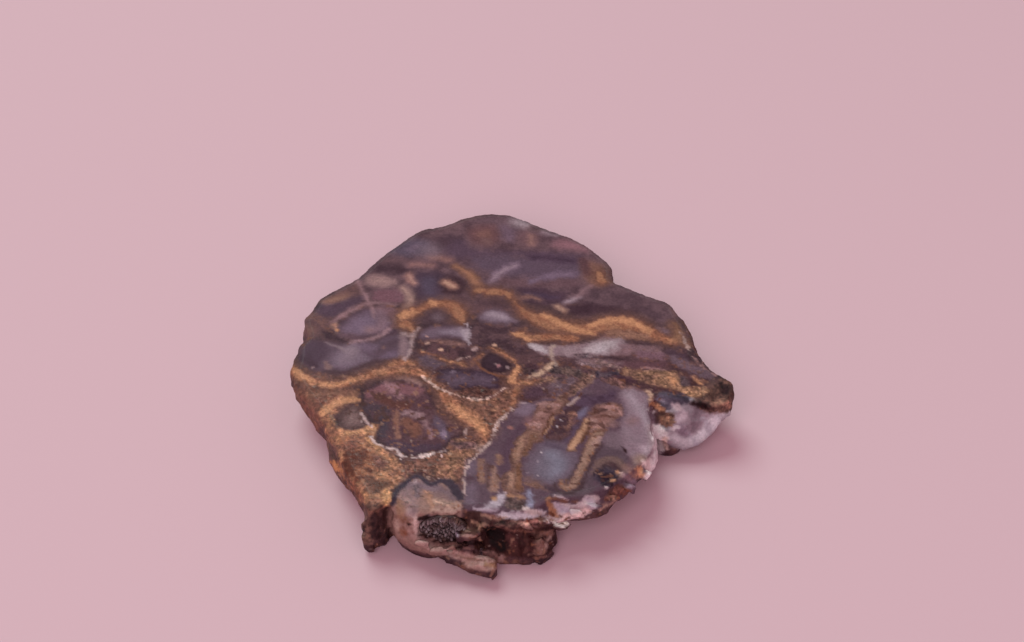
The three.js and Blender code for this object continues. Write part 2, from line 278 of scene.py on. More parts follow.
# The blank breaks away in humps, ridges and hollows, and most roughly right of the pocket.
slab = joined_copy("agate_slab", "moss_agate_slab")
even_out(slab, COARSE_MESH)
place = read_points(slab.data, "co") * MM
normal = read_points(slab.data, "normal")
polished, sawn, broken = stone_faces(place, normal)
broken = broken * smooth(0.0, 1.2, place[:, 2]) * smooth(11.0, 10.2, place[:, 2])
rocky_tip = smooth(31.5, 34, place[:, 0]) * smooth(6.0, 7.5, place[:, 2])
clear_lobe = clear_of_rock(place) * (1 - rocky_tip)
crumbling = (smooth(-34, -36.5, place[:, 1]) * smooth(-16.6, -14.6, place[:, 0])
             * smooth(4.6, 5.6, place[:, 2] + 0.45 * (place[:, 0] + 12))
             * smooth(-2, -4, place[:, 0]))
front = smooth(-30, -33, place[:, 1]) * smooth(-21, -19, place[:, 0]) * smooth(2, -2, place[:, 0])
ridges = 1 - 2.2 * np.abs(cloud(place, 2.4, 71))
fine_ridges = 1 - 2.2 * np.abs(cloud(place, 1.3, 75))
push = (HUMP_DEPTH * (cloud(place, 3.0, 11) - 0.25) * (1 - 0.6 * clear_lobe)
        * (1 - 0.5 * front))
push += RIDGE_DEPTH * (ridges - 0.8) * (1 - clear_lobe) * (1 - 0.6 * front)
push += rocky_tip * TIP_RIDGE_DEPTH * (fine_ridges - 0.5)
push += crumbling * (CRUMBLE_DEPTH * (fine_ridges - 0.5) - 0.2)
roof = np.linalg.norm((place - ROOF_AT) / ROOF_HALF, axis=1)
push -= ROOF_RAISED * smooth(1.1, 0.6, roof)
place = place + normal * (push * broken)[:, None]
rough_tip = smooth(34.8, 37.0, place[:, 0] + 0.9 * cloud(place, 2.2, 13)) * polished
place[:, 2] -= rough_tip * (0.55 + 0.5 * cloud(place, 1.6, 17))
low, high = np.array(cad_box[0]) * MM, np.array(cad_box[1]) * MM
slab.data.vertices.foreach_set("co", (np.clip(place, low, high) / MM).ravel())
solid = bmesh.new()
solid.from_mesh(slab.data)
for rock in ROCKS:
    add_rock(solid, *rock)
solid.to_mesh(slab.data)
solid.free()
even_out(slab, FINE_MESH)

# The sawn underside is plain, so it carries fewer faces than the polished side.
place = read_points(slab.data, "co")
normal = read_points(slab.data, "normal")
under = np.flatnonzero((place[:, 2] < 0.0002) & (normal[:, 2] < -0.95))
slab.vertex_groups.new(name="underside").add(under.tolist(), 1.0, "REPLACE")
thin = slab.modifiers.new("thin", "DECIMATE")
thin.vertex_group = "underside"
thin.ratio = 1 - UNDERSIDE_THINNED * len(under) / len(place)
slab.data = finished_mesh(slab, "moss_agate_slab")
slab.vertex_groups.clear()

# Then its skin roughens, and takes its colours.
place = read_points(slab.data, "co") * MM
normal = read_points(slab.data, "normal")
count = len(place)
polished, sawn, broken = stone_faces(place, normal)
push = GRIT_DEPTH * cloud(place, 0.95, 15) * (1 - 0.6 * clear_of_rock(place)) - 0.05
place = place + normal * (push * broken)[:, None]
# The stone's colours are laid in map coordinates, u to the right and v to the back. They are
# the polished face itself, and below it they lean to the front, as the bands in the stone do.
LEAN = 1.11
NARROWING = 0.0045
FRONT_FACING = (-0.743, 0.669)
FAR = 100.0
depth = TOP - place[:, 2]
u = place[:, 0] * (1 - NARROWING * depth)
v = place[:, 1] - LEAN * depth
u = u + 0.35 * cloud(place, 1.3, 21) + 0.16 * cloud(place, 0.6, 25)
v = v + 0.35 * cloud(place, 1.3, 31) + 0.16 * cloud(place, 0.6, 35)
in_front = smooth(-0.25, 0.15, FRONT_FACING[0] * normal[:, 1] + FRONT_FACING[1] * normal[:, 2])

ragged = 0.65 * cloud(place, 1.1, 41) + 0.55 * (2 * mottle(place, 0.42, 43) - 1)
marbled = cloud(place, 1.9, 45)
streaks = cloud(place * np.array([0.6, 1.5, 0.8]), 2.4, 51)
warm = cloud(place, 1.6, 55)

DARK_JASPER = np.array([56, 39, 43.0])
PLUM_JASPER = np.array([92, 64, 66.0])
BROWN_JASPER = np.array([120, 84, 73.0])
blend = smooth(-0.55, 0.45, streaks + 0.35 * ragged)[:, None]
paint = DARK_JASPER + (PLUM_JASPER - DARK_JASPER) * blend
blend = smooth(0.05, 0.6, warm + 0.3 * ragged)[:, None]
paint = paint + (BROWN_JASPER - paint) * blend
grain = np.full(count, 0.4)


def eased(line, closed, turns=2):
    """Cuts the corners of a line, so that it flows as a band in stone does."""
    for _ in range(turns):
        here = line if closed else line[:-1]
        then = np.roll(line, -1, axis=0) if closed else line[1:]
        cut = np.empty((2 * len(here), 3))
        cut[0::2] = 0.75 * here + 0.25 * then
        cut[1::2] = 0.25 * here + 0.75 * then
        line = cut if closed else np.vstack([line[:1], cut, line[-1:]])
    return line


def around(line, closed, spread):
    """The points near a line, how far each is outside its width, and which it encloses."""
    near = np.flatnonzero((u > line[:, 0].min() - spread) & (u < line[:, 0].max() + spread)
                          & (v > line[:, 1].min() - spread) & (v < line[:, 1].max() + spread))
    gap = np.full(len(near), FAR)
    inside = np.zeros(len(near), bool)
    pu, pv = u[near], v[near]
    for (au, av, aw), (bu, bv, bw) in zip(line[:-1], line[1:]):
        du, dv = bu - au, bv - av
        along = np.clip(((pu - au) * du + (pv - av) * dv) / max(du * du + dv * dv, 1e-9), 0, 1)
        side = np.hypot(pu - au - along * du, pv - av - along * dv)
        gap = np.minimum(gap, side - 0.5 * (aw + along * (bw - aw)))
        if closed:
            inside ^= ((av > pv) != (bv > pv)) & (pu < du * (pv - av) / (dv or 1e-9) + au)
    return near, gap, inside


def lay(near, gap, middle, colour, soft, rag, strength=0.95, second=None, rim=None,
        heart=None, grains=None, front=False):
    """Lays one colour of the stone where gap is below 0, with a worn or sharp limit that is
    softer towards the back.
    second is marbled into it, rim lies along its limit, and heart lies deep inside."""
    soft = soft * (1 + 1.2 * smooth(4, 26, v[near]))
    cover = smooth(0.5, -0.5, (gap + rag * ragged[near]) / soft) * strength
    if front:
        cover = cover * in_front[near]
    tone = np.broadcast_to(np.array(colour, float), (len(near), 3))
    inward = (-gap + 0.3 * rag * marbled[near]) / middle
    for other, share in [
            (second, smooth(-0.3, 0.3, marbled[near] + 0.6 * ragged[near])),
            (heart, smooth(0.25, 0.9, inward)),
            (rim, smooth(0.4, 0.05, inward))]:
        if other is not None:
            tone = tone + (np.array(other, float) - tone) * share[:, None]
    paint[near] += (tone - paint[near]) * cover[:, None]
    if grains is not None:
        grain[near] += (grains - grain[near]) * cover


def patch(colour, outline, soft=0.7, rag=0.6, **ways):
    """A pool of one colour inside a closed outline, given as (u, v) in mm."""
    line = eased(np.array([(*point, 0.0) for point in outline]), True)
    near, gap, inside = around(np.vstack([line, line[:1]]), True, 1.5 * soft + 2 * rag)
    lay(near, np.where(inside, -gap, gap), 3.0, colour, soft, rag, **ways)


def vein(colour, course, soft=0.35, rag=0.2, **ways):
    """A vein or ribbon along a course of (u, v, width) in mm."""
    line = eased(np.array(course, float), False)
    widest = line[:, 2].max() / 2
    near, gap, _ = around(line, False, 1.5 * soft + 2 * rag + widest)
    lay(near, gap, widest, colour, soft, rag, **ways)


def fleck(colour, at_u, at_v, radius, soft=0.4, rag=0.15, **ways):
    """A round spot."""
    near = np.flatnonzero(np.hypot(u - at_u, v - at_v) < radius + 1.5 * soft + 2 * rag)
    gap = np.hypot(u[near] - at_u, v[near] - at_v) - radius
    lay(near, gap, radius, colour, soft, rag, **ways)


# The back of the slab is purple-brown jasper with clouds of violet chalcedony.
patch((82, 58, 64), [(-36, 17), (-20, 18), (-4, 17), (14, 15), (34, 12), (36, 24), (20, 46), (0, 50),
    (-24, 46), (-38, 30)], soft=4, rag=1.5, second=(101, 73, 78))
for tone, course in [
        ((92, 64, 66), [(-24, 33, 1.6), (-19, 38.4, 2), (-14, 40, 2), (-8, 42.6, 1.6), (-2, 44, 1.4),
            (4, 42, 1.6), (10, 38, 1.6), (18, 31.5, 1.6), (20, 27, 1.8), (20, 22, 1.6)]),
        ((115, 84, 88), [(-14, 38.6, 1.6), (-10.6, 39.6, 1.8)]),
        ((105, 76, 79), [(-14.6, 36.4, 1.6), (-13.8, 33.6, 1.4)]),
        ((101, 72, 76), [(-25, 28.4, 1.8), (-21, 28.6, 1.8)]),
        ((97, 68, 73), [(-1, 22.4, 2), (3, 21.4, 2.4), (8, 22, 2), (12, 21.6, 2)]),
        ((105, 77, 81), [(18, 18.6, 2), (23, 17.6, 2), (27, 16, 1.6)]),
        ((129, 92, 91), [(27, 17.6, 0.9), (29.5, 15.4, 1), (31, 12.6, 0.9)]),
        ((96, 66, 69), [(-38, 13.4, 1.6), (-38.4, 10, 1.8), (-38.4, 7, 1.4)])]:
    vein(tone, course, soft=1.2, rag=0.6)
patch((90, 75, 90), [(-24, 31.5), (-21.4, 34), (-19.4, 35.8), (-17, 35), (-15.8, 33), (-16.6, 30.6),
    (-20, 29.8), (-23, 30.4)], soft=1.4, heart=(109, 87, 103))
patch((76, 54, 62), [(-15.6, 36), (-12, 37), (-9, 35), (-8.6, 31), (-12, 30.4), (-15, 31.6)], soft=1.2)
patch((64, 44, 50), [(-27, 27), (-23, 27.6), (-20, 26.4), (-19.6, 24.8), (-23, 24.6), (-27, 25.4)], soft=1)
patch((70, 52, 64), [(-18, 25.4), (-14.6, 25.6), (-12.6, 23.6), (-13, 20), (-12.6, 17.6), (-15, 16.8),
    (-17.6, 17.4), (-18.8, 20), (-19, 23)], soft=1, heart=(78, 64, 80))
patch((57, 37, 41), [(-13.4, 23.8), (-10, 24), (-8.6, 21), (-9.4, 18.4), (-12.6, 18.4), (-13.8, 21)],
    soft=0.8)
patch((107, 79, 86), [(-8.5, 41), (-4, 42), (1, 42.5), (1, 39.5), (-2, 38.5), (-3.5, 40.5), (-7, 40.6)],
    soft=1.2)
patch((106, 72, 74), [(-8, 39.5), (-4, 40.4), (-2, 38), (-2, 35), (-4, 33.2), (-7.5, 34), (-9, 37)],
    soft=1.2, heart=(121, 85, 81))
for tone, outline in [
        ((113, 86, 100), [(-2, 40), (1, 39), (1.4, 36), (0, 34), (-1.6, 35.5)]),
        ((113, 80, 84), [(1, 38), (4.4, 37.5), (5.6, 35), (4.6, 33), (2, 33), (1, 35)]),
        ((161, 137, 143), [(-0.4, 41.6), (2, 42), (4.2, 40.4), (3.8, 38.8), (1.6, 38.8), (0, 39.8)])]:
    patch(tone, outline, soft=1.2)
patch((144, 100, 108), [(8, 34), (10, 35.8), (13, 34.6), (16, 32), (14.6, 31), (11, 32), (8.4, 32.4)],
    soft=1.6)
patch((83, 61, 74), [(-13, 33), (-10, 36), (-9, 33), (-6, 31.6), (0, 31.6), (8, 31.4), (14, 30.6), (14, 29),
    (6, 30), (-4, 30), (-12, 28.6)], soft=1.2)
patch((94, 73, 87), [(-8, 30), (-2, 30.4), (4, 29.6), (13, 29.4), (14, 26), (12.6, 24), (6, 23.4), (0, 24),
    (-4, 24.6), (-7.6, 27)], soft=1.4, second=(86, 66, 79))
patch((72, 50, 60), [(0.6, 20.6), (5, 20.8), (8.4, 19.4), (11, 19.6), (10.6, 16.6), (8, 15.6), (4, 16.4),
    (1, 17)], soft=0.9, heart=(68, 52, 71))
patch((83, 60, 66), [(14, 19), (18, 21), (22, 20.4), (27, 18.4), (30.5, 15), (31, 11), (28, 9.6), (25, 12),
    (20, 14), (14, 15)], soft=1.4, second=(95, 69, 74))
patch((60, 40, 46), [(10, 15.4), (14, 16), (20, 15), (24, 14), (24, 12.4), (18, 13), (13, 12.4),
    (10.6, 12.6)], soft=1.2)
patch((127, 91, 81), [(14, 28), (16, 28.6), (19, 26), (19, 21.6), (15, 20.6), (14.4, 24)], soft=1.4,
    grains=0.6)
patch((148, 114, 113), [(-28.4, 24.2), (-25, 24.8), (-22.6, 23.4), (-21.4, 21.6), (-23, 20.6),
    (-26.6, 20.4), (-28.2, 21.6)], soft=0.9, heart=(163, 129, 124))
patch((123, 83, 92), [(-27, 19.8), (-23.4, 20.4), (-20.6, 19.6), (-20, 16.8), (-22, 15.8), (-26.2, 16.4)],
    soft=0.9, second=(111, 77, 85))
for tone, outline in [
        ((117, 83, 89), [(-26, 15.4), (-22.4, 15.2), (-21, 13.6), (-22, 8.6), (-24.4, 8), (-25.4, 12)]),
        ((81, 60, 72), [(-37, 14), (-35.4, 16.4), (-31, 17.6), (-29, 16.4), (-30.6, 14.6), (-33.6, 12),
            (-36.4, 12.4)])]:
    patch(tone, outline, soft=0.9)
patch((107, 76, 79), [(-34, 19), (-31, 22), (-29.2, 22.6), (-28.6, 20), (-29.4, 17.8), (-32.6, 18.2)],
    soft=1)
for tone, core, course in [
        ((134, 106, 121), (147, 119, 130), [(-3.7, 22.6, 1.3), (-2.6, 24.6, 1.7), (-0.8, 26.3, 1.8),
            (1.2, 27.4, 1.2)]),
        ((113, 89, 107), (120, 95, 112), [(3.8, 22.2, 1.2), (6.5, 23.6, 1.8), (9, 24.5, 2.2),
            (12, 24.6, 2)]),
        ((72, 52, 67), (66, 47, 60), [(4, 29.6, 1.6), (8, 29.4, 2), (12, 28.4, 1.6)]),
        ((90, 59, 62), (86, 57, 60), [(14.2, 28.6, 1.6), (15, 25, 1.6)]),
        ((131, 93, 79), (143, 100, 81), [(-11, 27, 1.6), (-8.4, 25, 2.4), (-7, 22.4, 2.6), (-6, 20.6, 2)]),
        ((137, 100, 97), (143, 106, 101), [(4, 36.2, 1.8), (4.2, 33.6, 1.4)]),
        ((101, 76, 77), (82, 59, 62), [(4.6, 38.6, 2), (6.6, 38.4, 1.6)]),
        ((138, 110, 118), (146, 117, 125), [(6.6, 37.2, 1.4), (9, 36.4, 1)]),
        ((112, 80, 80), (120, 87, 86), [(-5.4, 34.8, 2), (-4.6, 34.4, 2.2)]),
        ((129, 92, 91), (139, 101, 97), [(-15.6, 29.6, 2.2), (-12, 28.8, 2)]),
        ((127, 90, 91), (135, 98, 96), [(-19.4, 27.4, 1.8), (-15.4, 27.2, 1.8)]),
        ((156, 114, 108), (168, 127, 118), [(-19.8, 24, 1.8), (-18.8, 21.8, 1.6)]),
        ((165, 121, 109), (182, 140, 122), [(-12.6, 22.2, 2), (-11, 20.6, 1.8)]),
        ((133, 96, 90), (143, 105, 97), [(1.8, 17.6, 1), (3.8, 17.8, 1.3), (5.6, 17, 1.1)]),
        ((147, 121, 132), (171, 142, 150), [(10.4, 16.2, 1), (11.8, 17, 1.8), (12.8, 17.6, 1.2)]),
        ((138, 103, 108), (142, 107, 111), [(12.6, 17.8, 0.8), (14, 19.6, 0.7), (15.2, 21, 0.6)]),
        ((154, 118, 107), (168, 131, 117), [(8.8, 15, 1.5), (10.2, 13.9, 1.3)]),
        ((143, 106, 101), (152, 117, 109), [(-35, 16.4, 2), (-33, 17.6, 1.8)]),
        ((145, 109, 100), (165, 120, 105), [(-33.4, 10, 1.8), (-32.2, 8.2, 1.6)]),
        ((152, 119, 113), (164, 130, 122), [(-20.8, 20.6, 1.2), (-19.3, 18.4, 1.6), (-19.2, 15.8, 1.6),
            (-20.6, 13.2, 1.3), (-21.8, 10.6, 1)])]:
    vein(tone, course, soft=0.8, rag=0.5, heart=core)

# Pools of lilac and grey chalcedony on the left, parted by soft pink veins.
patch((98, 69, 71), [(-40, 12), (-37, 14), (-35, 13), (-33.6, 10.6), (-35, 8), (-36.4, 6), (-39, 6.6),
    (-40, 9)], soft=1.2, second=(112, 80, 76))
patch((80, 58, 70), [(-37.4, 13.6), (-35.4, 15.6), (-32, 15.8), (-29.6, 17.8), (-27.8, 18.2), (-27.6, 16.8),
    (-30.6, 14.6), (-33.6, 12), (-36, 12.4)], soft=1.2, heart=(86, 64, 80))
patch((96, 67, 67), [(-36, 16.4), (-33, 19), (-30.4, 21.6), (-28.6, 21), (-28.4, 18.8), (-31, 18.2),
    (-34, 16.2)], soft=1.2, second=(110, 79, 75))
vein((134, 99, 90), [(-35, 16.6, 1.4), (-33, 17.4, 2), (-31.6, 18, 1.2)], soft=1.4, heart=(146, 110, 98))
patch((103, 79, 93), [(-32.6, 9.6), (-31, 12), (-28.6, 14.2), (-26.8, 15), (-25.6, 13.8), (-23.6, 12.6),
    (-21.8, 10.6), (-22.6, 8.6), (-25, 7), (-28, 5.8), (-31, 6.4), (-32.8, 8)], soft=1, grains=0.1,
    rim=(84, 61, 72), heart=(118, 94, 112))
vein((126, 95, 104), [(-25, 13.6, 1.6), (-24, 11, 2.6), (-24.6, 8.4, 2)], soft=1.8)
vein((94, 67, 74), [(-31.8, 7, 1.2), (-29, 6.2, 1.6), (-26.6, 5.8, 1)], soft=1.4)
patch((60, 41, 47), [(-35.8, 8.4), (-34, 8), (-32, 6), (-29.6, 5), (-32, 4.8), (-35, 6.4)], soft=0.9)
patch((97, 75, 87), [(-38.8, 3.5), (-37, 6), (-35, 5.6), (-33, 5.2), (-31, 4.8), (-28, 4.8), (-25, 5.8),
    (-23, 7.4), (-21, 8), (-19.6, 7.2), (-18.6, 5.5), (-18.4, 3), (-19, 0.8), (-21, 0.4), (-24, 0.2),
    (-26.5, -0.8), (-28.5, -2.6), (-31, -3.6), (-33, -3.6), (-35.5, -3.4), (-37.5, -1.8), (-39.2, -0.2)],
    grains=0.1, rim=(82, 59, 66), second=(87, 65, 77), soft=0.9)
patch((80, 59, 71), [(-38.8, 3), (-37, 5.4), (-35, 5.4), (-33.8, 3), (-34.2, 0), (-36, -1.4), (-38.8, 0)],
    soft=1.6, second=(70, 50, 60))
patch((118, 96, 109), [(-33.2, 0.4), (-31.8, 2.8), (-29.4, 3.4), (-27, 2), (-25.8, 0.2), (-28.6, -1.6),
    (-31, -2.2), (-33.2, -1.6)], soft=2.2, heart=(134, 110, 121))
vein((136, 110, 115), [(-34.6, 5, 0.3), (-32.4, 3.8, 0.5), (-30.6, 2.6, 0.8)], soft=0.7)
vein((110, 86, 102), [(-29, 4.2, 1.8), (-26.6, 3.8, 2.4), (-25.2, 3, 2)], soft=1.8)
vein((82, 60, 69), [(-24.6, 2.4, 1.4), (-22.8, 4, 2.2), (-21, 5.4, 1.6)], soft=1.4)
fleck((122, 89, 85), -23.6, 3.7, 0.35, soft=0.8)
for tone, course in [
        ((104, 82, 98), [(-23.4, 1, 1.2), (-21.6, 1.8, 2), (-20.6, 1.6, 1)]),
        ((134, 105, 109), [(-20, 1.2, 1), (-19.8, 4, 1.8), (-20.2, 6.4, 1.4)])]:
    vein(tone, course, soft=1.2)
vein((70, 50, 60), [(-24.8, 7, 0.8), (-22.6, 8, 1.6), (-20.8, 8.4, 0.8)], soft=1)
for tone, course in [
        ((76, 54, 59), [(-33.6, -2.8, 1), (-30, -3.6, 1.4), (-27.6, -1.9, 1.2), (-25, -0.6, 1.2)]),
        ((66, 46, 55), [(-38.4, 0.6, 1.4), (-37, -0.4, 1.6), (-35.6, -1.6, 1)])]:
    vein(tone, course, soft=1.2)
vein((130, 98, 96), [(-34, -0.6, 0.7), (-33.4, -1.8, 1.3)], soft=0.9)

# The grey and near white pools of the middle lie in dark jasper.
patch((74, 52, 57), [(-18, 12.4), (-16, 14.4), (-13.4, 14.6), (-11.8, 13), (-11.4, 10.4), (-14, 10),
    (-17, 10.4)], soft=1)
fleck((108, 85, 92), -13.8, 12, 1, soft=1.4)
patch((110, 87, 100), [(-17.4, 6.4), (-16.6, 8.6), (-14, 9.6), (-10, 9.4), (-8, 9.8), (-7.7, 7.5),
    (-7.9, 5.8), (-10, 6.2), (-13, 6.2), (-16, 5.6)], grains=0.1, rim=(95, 71, 82), soft=0.9)
vein((134, 112, 125), [(-12.4, 7.8, 1.4), (-9.8, 7.8, 2.4), (-8.4, 7.4, 2.4)], soft=1.4)
vein((170, 147, 157), [(-9.2, 8.6, 0.9), (-8.3, 7.4, 1.6), (-8.2, 5.8, 0.8)], soft=0.9)
vein((116, 83, 81), [(-15.4, 5, 0.8), (-12.4, 5, 1.4), (-9.4, 4.4, 1.2)], soft=1.1, rag=0.8,
    second=(136, 100, 94), grains=0.6)
patch((78, 54, 58), [(-6.6, 16.6), (-3, 17.4), (0.2, 17), (0.6, 14.8), (-2, 15), (-5.6, 14.8)], soft=1)
patch((120, 97, 110), [(-6.6, 12), (-5, 14), (-3, 14.7), (-1, 13.6), (1, 12), (2, 10.4), (0, 9.7),
    (-3.6, 10.1), (-6, 10.8)], grains=0.1, soft=1.1, rim=(100, 76, 86), heart=(140, 116, 128))
vein((158, 134, 144), [(-4.4, 12.8, 0.8), (-2.6, 12.6, 1.8), (-0.8, 11.8, 1)], soft=1.2)

# The broken left corner is granular ochre, rusty where it is deepest.
patch((128, 89, 75), [(-40, -7), (-34, -7.6), (-28, -7), (-27, -10), (-29, -11), (-33, -16), (-36, -26),
    (-44, -20), (-46, -10)], soft=1.2, rag=0.8, second=(114, 75, 66), grains=0.7)
patch((150, 105, 81), [(-33, -9), (-30, -10), (-28.5, -9.8), (-31, -12), (-31.5, -15), (-30.5, -17.5),
    (-27, -17.5), (-24, -16), (-23.5, -18), (-24.5, -21), (-22, -22.5), (-20, -24.5), (-18, -26.5),
    (-17.5, -28.3), (-19.5, -31), (-20.3, -34), (-20.8, -37), (-24.5, -37.5), (-26.5, -33), (-29, -30),
    (-31, -27), (-32, -22), (-33, -17), (-34, -12)], soft=1, rag=0.9, second=(124, 84, 70), grains=0.9)
vein((172, 123, 94), [(-33.4, -14, 1.4), (-32, -11.6, 1.6), (-29.4, -10, 1.6), (-27.2, -10.4, 1)], soft=0.8,
    rag=0.4, grains=0.6)
for tone, course in [
        ((108, 68, 62), [(-28.6, -20.4, 2), (-27.2, -23, 2.6), (-26.6, -26, 2.4)]),
        ((108, 74, 70), [(-23.4, -25, 2), (-22.4, -26.4, 1.6)]),
        ((106, 74, 74), [(-31, -22, 1.6), (-31, -25.6, 1.8)]),
        ((104, 69, 60), [(-24, -29.6, 1.8), (-23, -32, 1.6)]),
        ((118, 78, 65), [(-27.6, -30, 1.4), (-25.6, -33.6, 1.4)])]:
    vein(tone, course, soft=1.3, rag=0.8)
for tone, course in [
        ((178, 129, 94), [(-21.3, -31.6, 1.4), (-21.1, -34, 1.6), (-20.9, -35.6, 1)]),
        ((170, 122, 92), [(-24, -17, 1.4), (-26, -17.8, 1.4), (-28.4, -18.6, 1.4)]),
        ((164, 117, 87), [(-25, -20, 1.4), (-23, -22, 1.4)]),
        ((168, 119, 88), [(-25, -26.4, 1.2), (-22.6, -28.4, 1.4)])]:
    vein(tone, course, soft=0.9, rag=0.7)

# A band of tan granular matrix runs from the middle to the nodule.
patch((139, 100, 81), [(-9, -8.6), (-7, -9.7), (-3.6, -10), (-1.5, -8), (0.5, -7), (1.4, -10), (-1.4, -14),
    (-2.6, -17), (-3.2, -20), (-6, -22.8), (-7.6, -26), (-8.3, -30), (-9.5, -31), (-10.8, -29.6),
    (-13, -29.4), (-15.6, -27.6), (-17.8, -28), (-19, -25.6), (-16, -24.6), (-11, -23.2), (-9.6, -22),
    (-10.3, -20), (-8.5, -19.2), (-5.5, -20.5), (-5.8, -18), (-8.5, -14.6), (-12, -13), (-12, -9.8),
    (-10.2, -8.6)], rag=0.7, second=(110, 75, 66), grains=0.95)
vein((101, 74, 76), [(-10.6, -20.6, 1), (-8.6, -21.6, 2), (-6.6, -21.4, 1.6)], soft=0.9)

# The wide pool at the front right: plum, grey and pale blue chalcedony, where two folded
# bands of pink and tan agate hang, and a dark eye with rings round it.
patch((108, 80, 84), [(0.6, -5), (4, -4), (8, -2.6), (13, -1.6), (20, -3), (19, -6.6), (14, -6), (10, -10),
    (4, -11)], soft=1.2, rag=0.8, second=(84, 60, 62), grains=0.5)
patch((80, 58, 68), [(1.6, -6.8), (4, -6.6), (6.4, -7.6), (6.2, -9.6), (3.6, -10.2), (1.6, -9.4)], soft=1)
patch((122, 100, 108), [(7, -5), (11, -3.6), (12, -6), (10, -9), (7.6, -9), (6, -7.4)], soft=1.2, rag=0.7,
    second=(92, 70, 76))
patch((100, 78, 88), [(-8, -30), (-7.4, -26.6), (-6, -23.6), (-3.2, -20.6), (-2.6, -17.6), (-1.6, -15),
    (0.4, -12.4), (1.2, -10.7), (3.8, -11.2), (5.6, -10), (9.5, -9.8), (12, -7.6), (14, -5.4), (17, -4.4),
    (19.2, -6.4), (20.6, -8), (24, -8.4), (25, -12), (25.6, -17), (26.8, -20.4), (26.4, -24), (26.4, -27),
    (25, -31), (21, -34), (16, -36.6), (10, -38), (4, -38.4), (-1, -38), (-5, -37.4), (-8, -37)], soft=0.6,
    rag=0.3, second=(88, 67, 77), grains=0.15, strength=1)
patch((122, 101, 115), [(0.8, -11.2), (4.4, -11), (4.6, -12.4), (3.4, -14.4), (1.4, -14.2), (0, -13.4)],
    soft=1.6, rag=0.5)
vein((172, 147, 152), [(1.1, -10.8, 0.3), (2, -11.1, 0.4), (2.8, -11.2, 0.2)], soft=0.4)
vein((85, 63, 75), [(2.4, -16.4, 1), (0.4, -19, 1.4), (-0.6, -22, 1.4), (-1.4, -25.4, 1.8),
    (-1.2, -27.6, 1.2)], soft=1.4, rag=0.6)
vein((110, 90, 103), [(-6.8, -25.6, 1.6), (-7, -29.6, 1.8), (-6.8, -34, 2)], soft=1.8, rag=0.5)
fleck((132, 94, 88), -0.1, -17.2, 0.5)
patch((72, 54, 67), [(10, -8.6), (11.6, -8.2), (13.2, -9.4), (18, -8.6), (17.4, -7), (19.4, -8.4),
    (18.6, -10.6), (15.4, -10.8), (13.6, -12.2), (11.2, -13.4), (9.8, -12)], soft=1.2, rag=0.6,
    second=(84, 65, 80))
patch((76, 56, 61), [(11.4, -11.2), (10.2, -12), (8.6, -13.6), (7.6, -16.4), (6, -19), (6.4, -20.8),
    (9.6, -20.4), (10.6, -19.6), (11.4, -17.4), (12.2, -15.4), (12.8, -13), (12.6, -11.8)], grains=0.35,
    second=(64, 46, 53), rag=0.6, soft=1)
vein((88, 70, 86), [(12.6, -13.6, 1.2), (11.8, -16, 1.2), (11.2, -18.6, 1.2), (9.6, -20.6, 1)], soft=1,
    rag=0.5)
vein((114, 103, 124), [(13.4, -12.4, 0.9), (12.6, -13.6, 1.2), (12.2, -14.8, 0.7)], soft=1)
vein((124, 88, 78), [(11, -13.6, 1.2), (10.8, -15.6, 1.5), (10, -17.4, 1.1)], soft=0.8, rag=0.8, grains=0.8)
fleck((158, 118, 108), 9.4, -13.4, 0.3)
vein((98, 71, 73), [(6.4, -19.6, 0.8), (8.6, -19.4, 1.2), (10, -18.8, 0.8)], soft=1.2)

# The pale blue heart, with its brown lower side.
patch((105, 88, 100), [(5.4, -20.6), (7.4, -20.6), (10, -21), (10.6, -22.8), (12, -24), (11.4, -26.6),
    (10, -29.6), (8, -30), (6, -30.8), (3, -31), (2.4, -27.6), (2.8, -24.8), (4, -22.6)], soft=1.6,
    heart=(111, 99, 112), grains=0.1)
vein((122, 115, 130), [(6.4, -23.4, 1), (8, -24.8, 2.6), (8, -27, 2.4), (6.8, -28.8, 1.2)], soft=2.8,
    rag=0.5)
vein((92, 76, 90), [(6, -21.4, 0.8), (8, -21.8, 1), (9.6, -22.4, 0.6)], soft=1.2)
vein((113, 86, 86), [(2.8, -29.4, 1.6), (4.4, -31, 1.8), (6.6, -31.6, 1.2)], soft=1.4, rag=0.8)
vein((122, 89, 80), [(3, -30.6, 1), (5, -31.2, 0.8)], soft=0.8, rag=0.8, grains=0.6)
vein((74, 57, 66), [(6.2, -31.2, 0.8), (7.6, -32, 1.2), (7.4, -33, 0.8)], soft=1, rag=0.5)

# The left fold: a band of tan grains, pink where it bends, with brown lines along it.
patch((133, 98, 86), [(10, -10), (8, -10.2), (6, -10.8), (4.6, -11.6), (4, -13), (3.8, -14.6), (3, -16),
    (2.6, -17.6), (1.4, -19), (0.6, -20.4), (0.4, -22), (0, -23.6), (-0.4, -24.8), (0, -26.4),
    (-0.2, -27.6), (-1.4, -28.4), (-1.8, -29.6), (-1.6, -31.4), (-1, -33), (0.6, -33.4), (2.2, -33),
    (2.2, -31), (2.2, -28.6), (2, -26), (1.8, -24.4), (2.8, -23.6), (3.6, -22), (4.6, -20.8), (5.6, -20.6),
    (5.4, -19.6), (6, -18.4), (7, -16.4), (7.8, -14), (8.8, -13.6), (9.4, -12.4), (10.2, -11.4),
    (11, -10.8)], soft=0.5, rag=0.35, second=(121, 87, 77), rim=(104, 74, 68), grains=0.65)
patch((139, 101, 97), [(9.4, -10.4), (6, -11.2), (4.8, -12.4), (4.4, -14.6), (3.4, -16.4), (3.2, -17.6),
    (4.6, -18), (6, -16.8), (6.8, -14.4), (8.6, -12)], soft=1.2, rag=0.6, second=(134, 95, 90), grains=0.5)
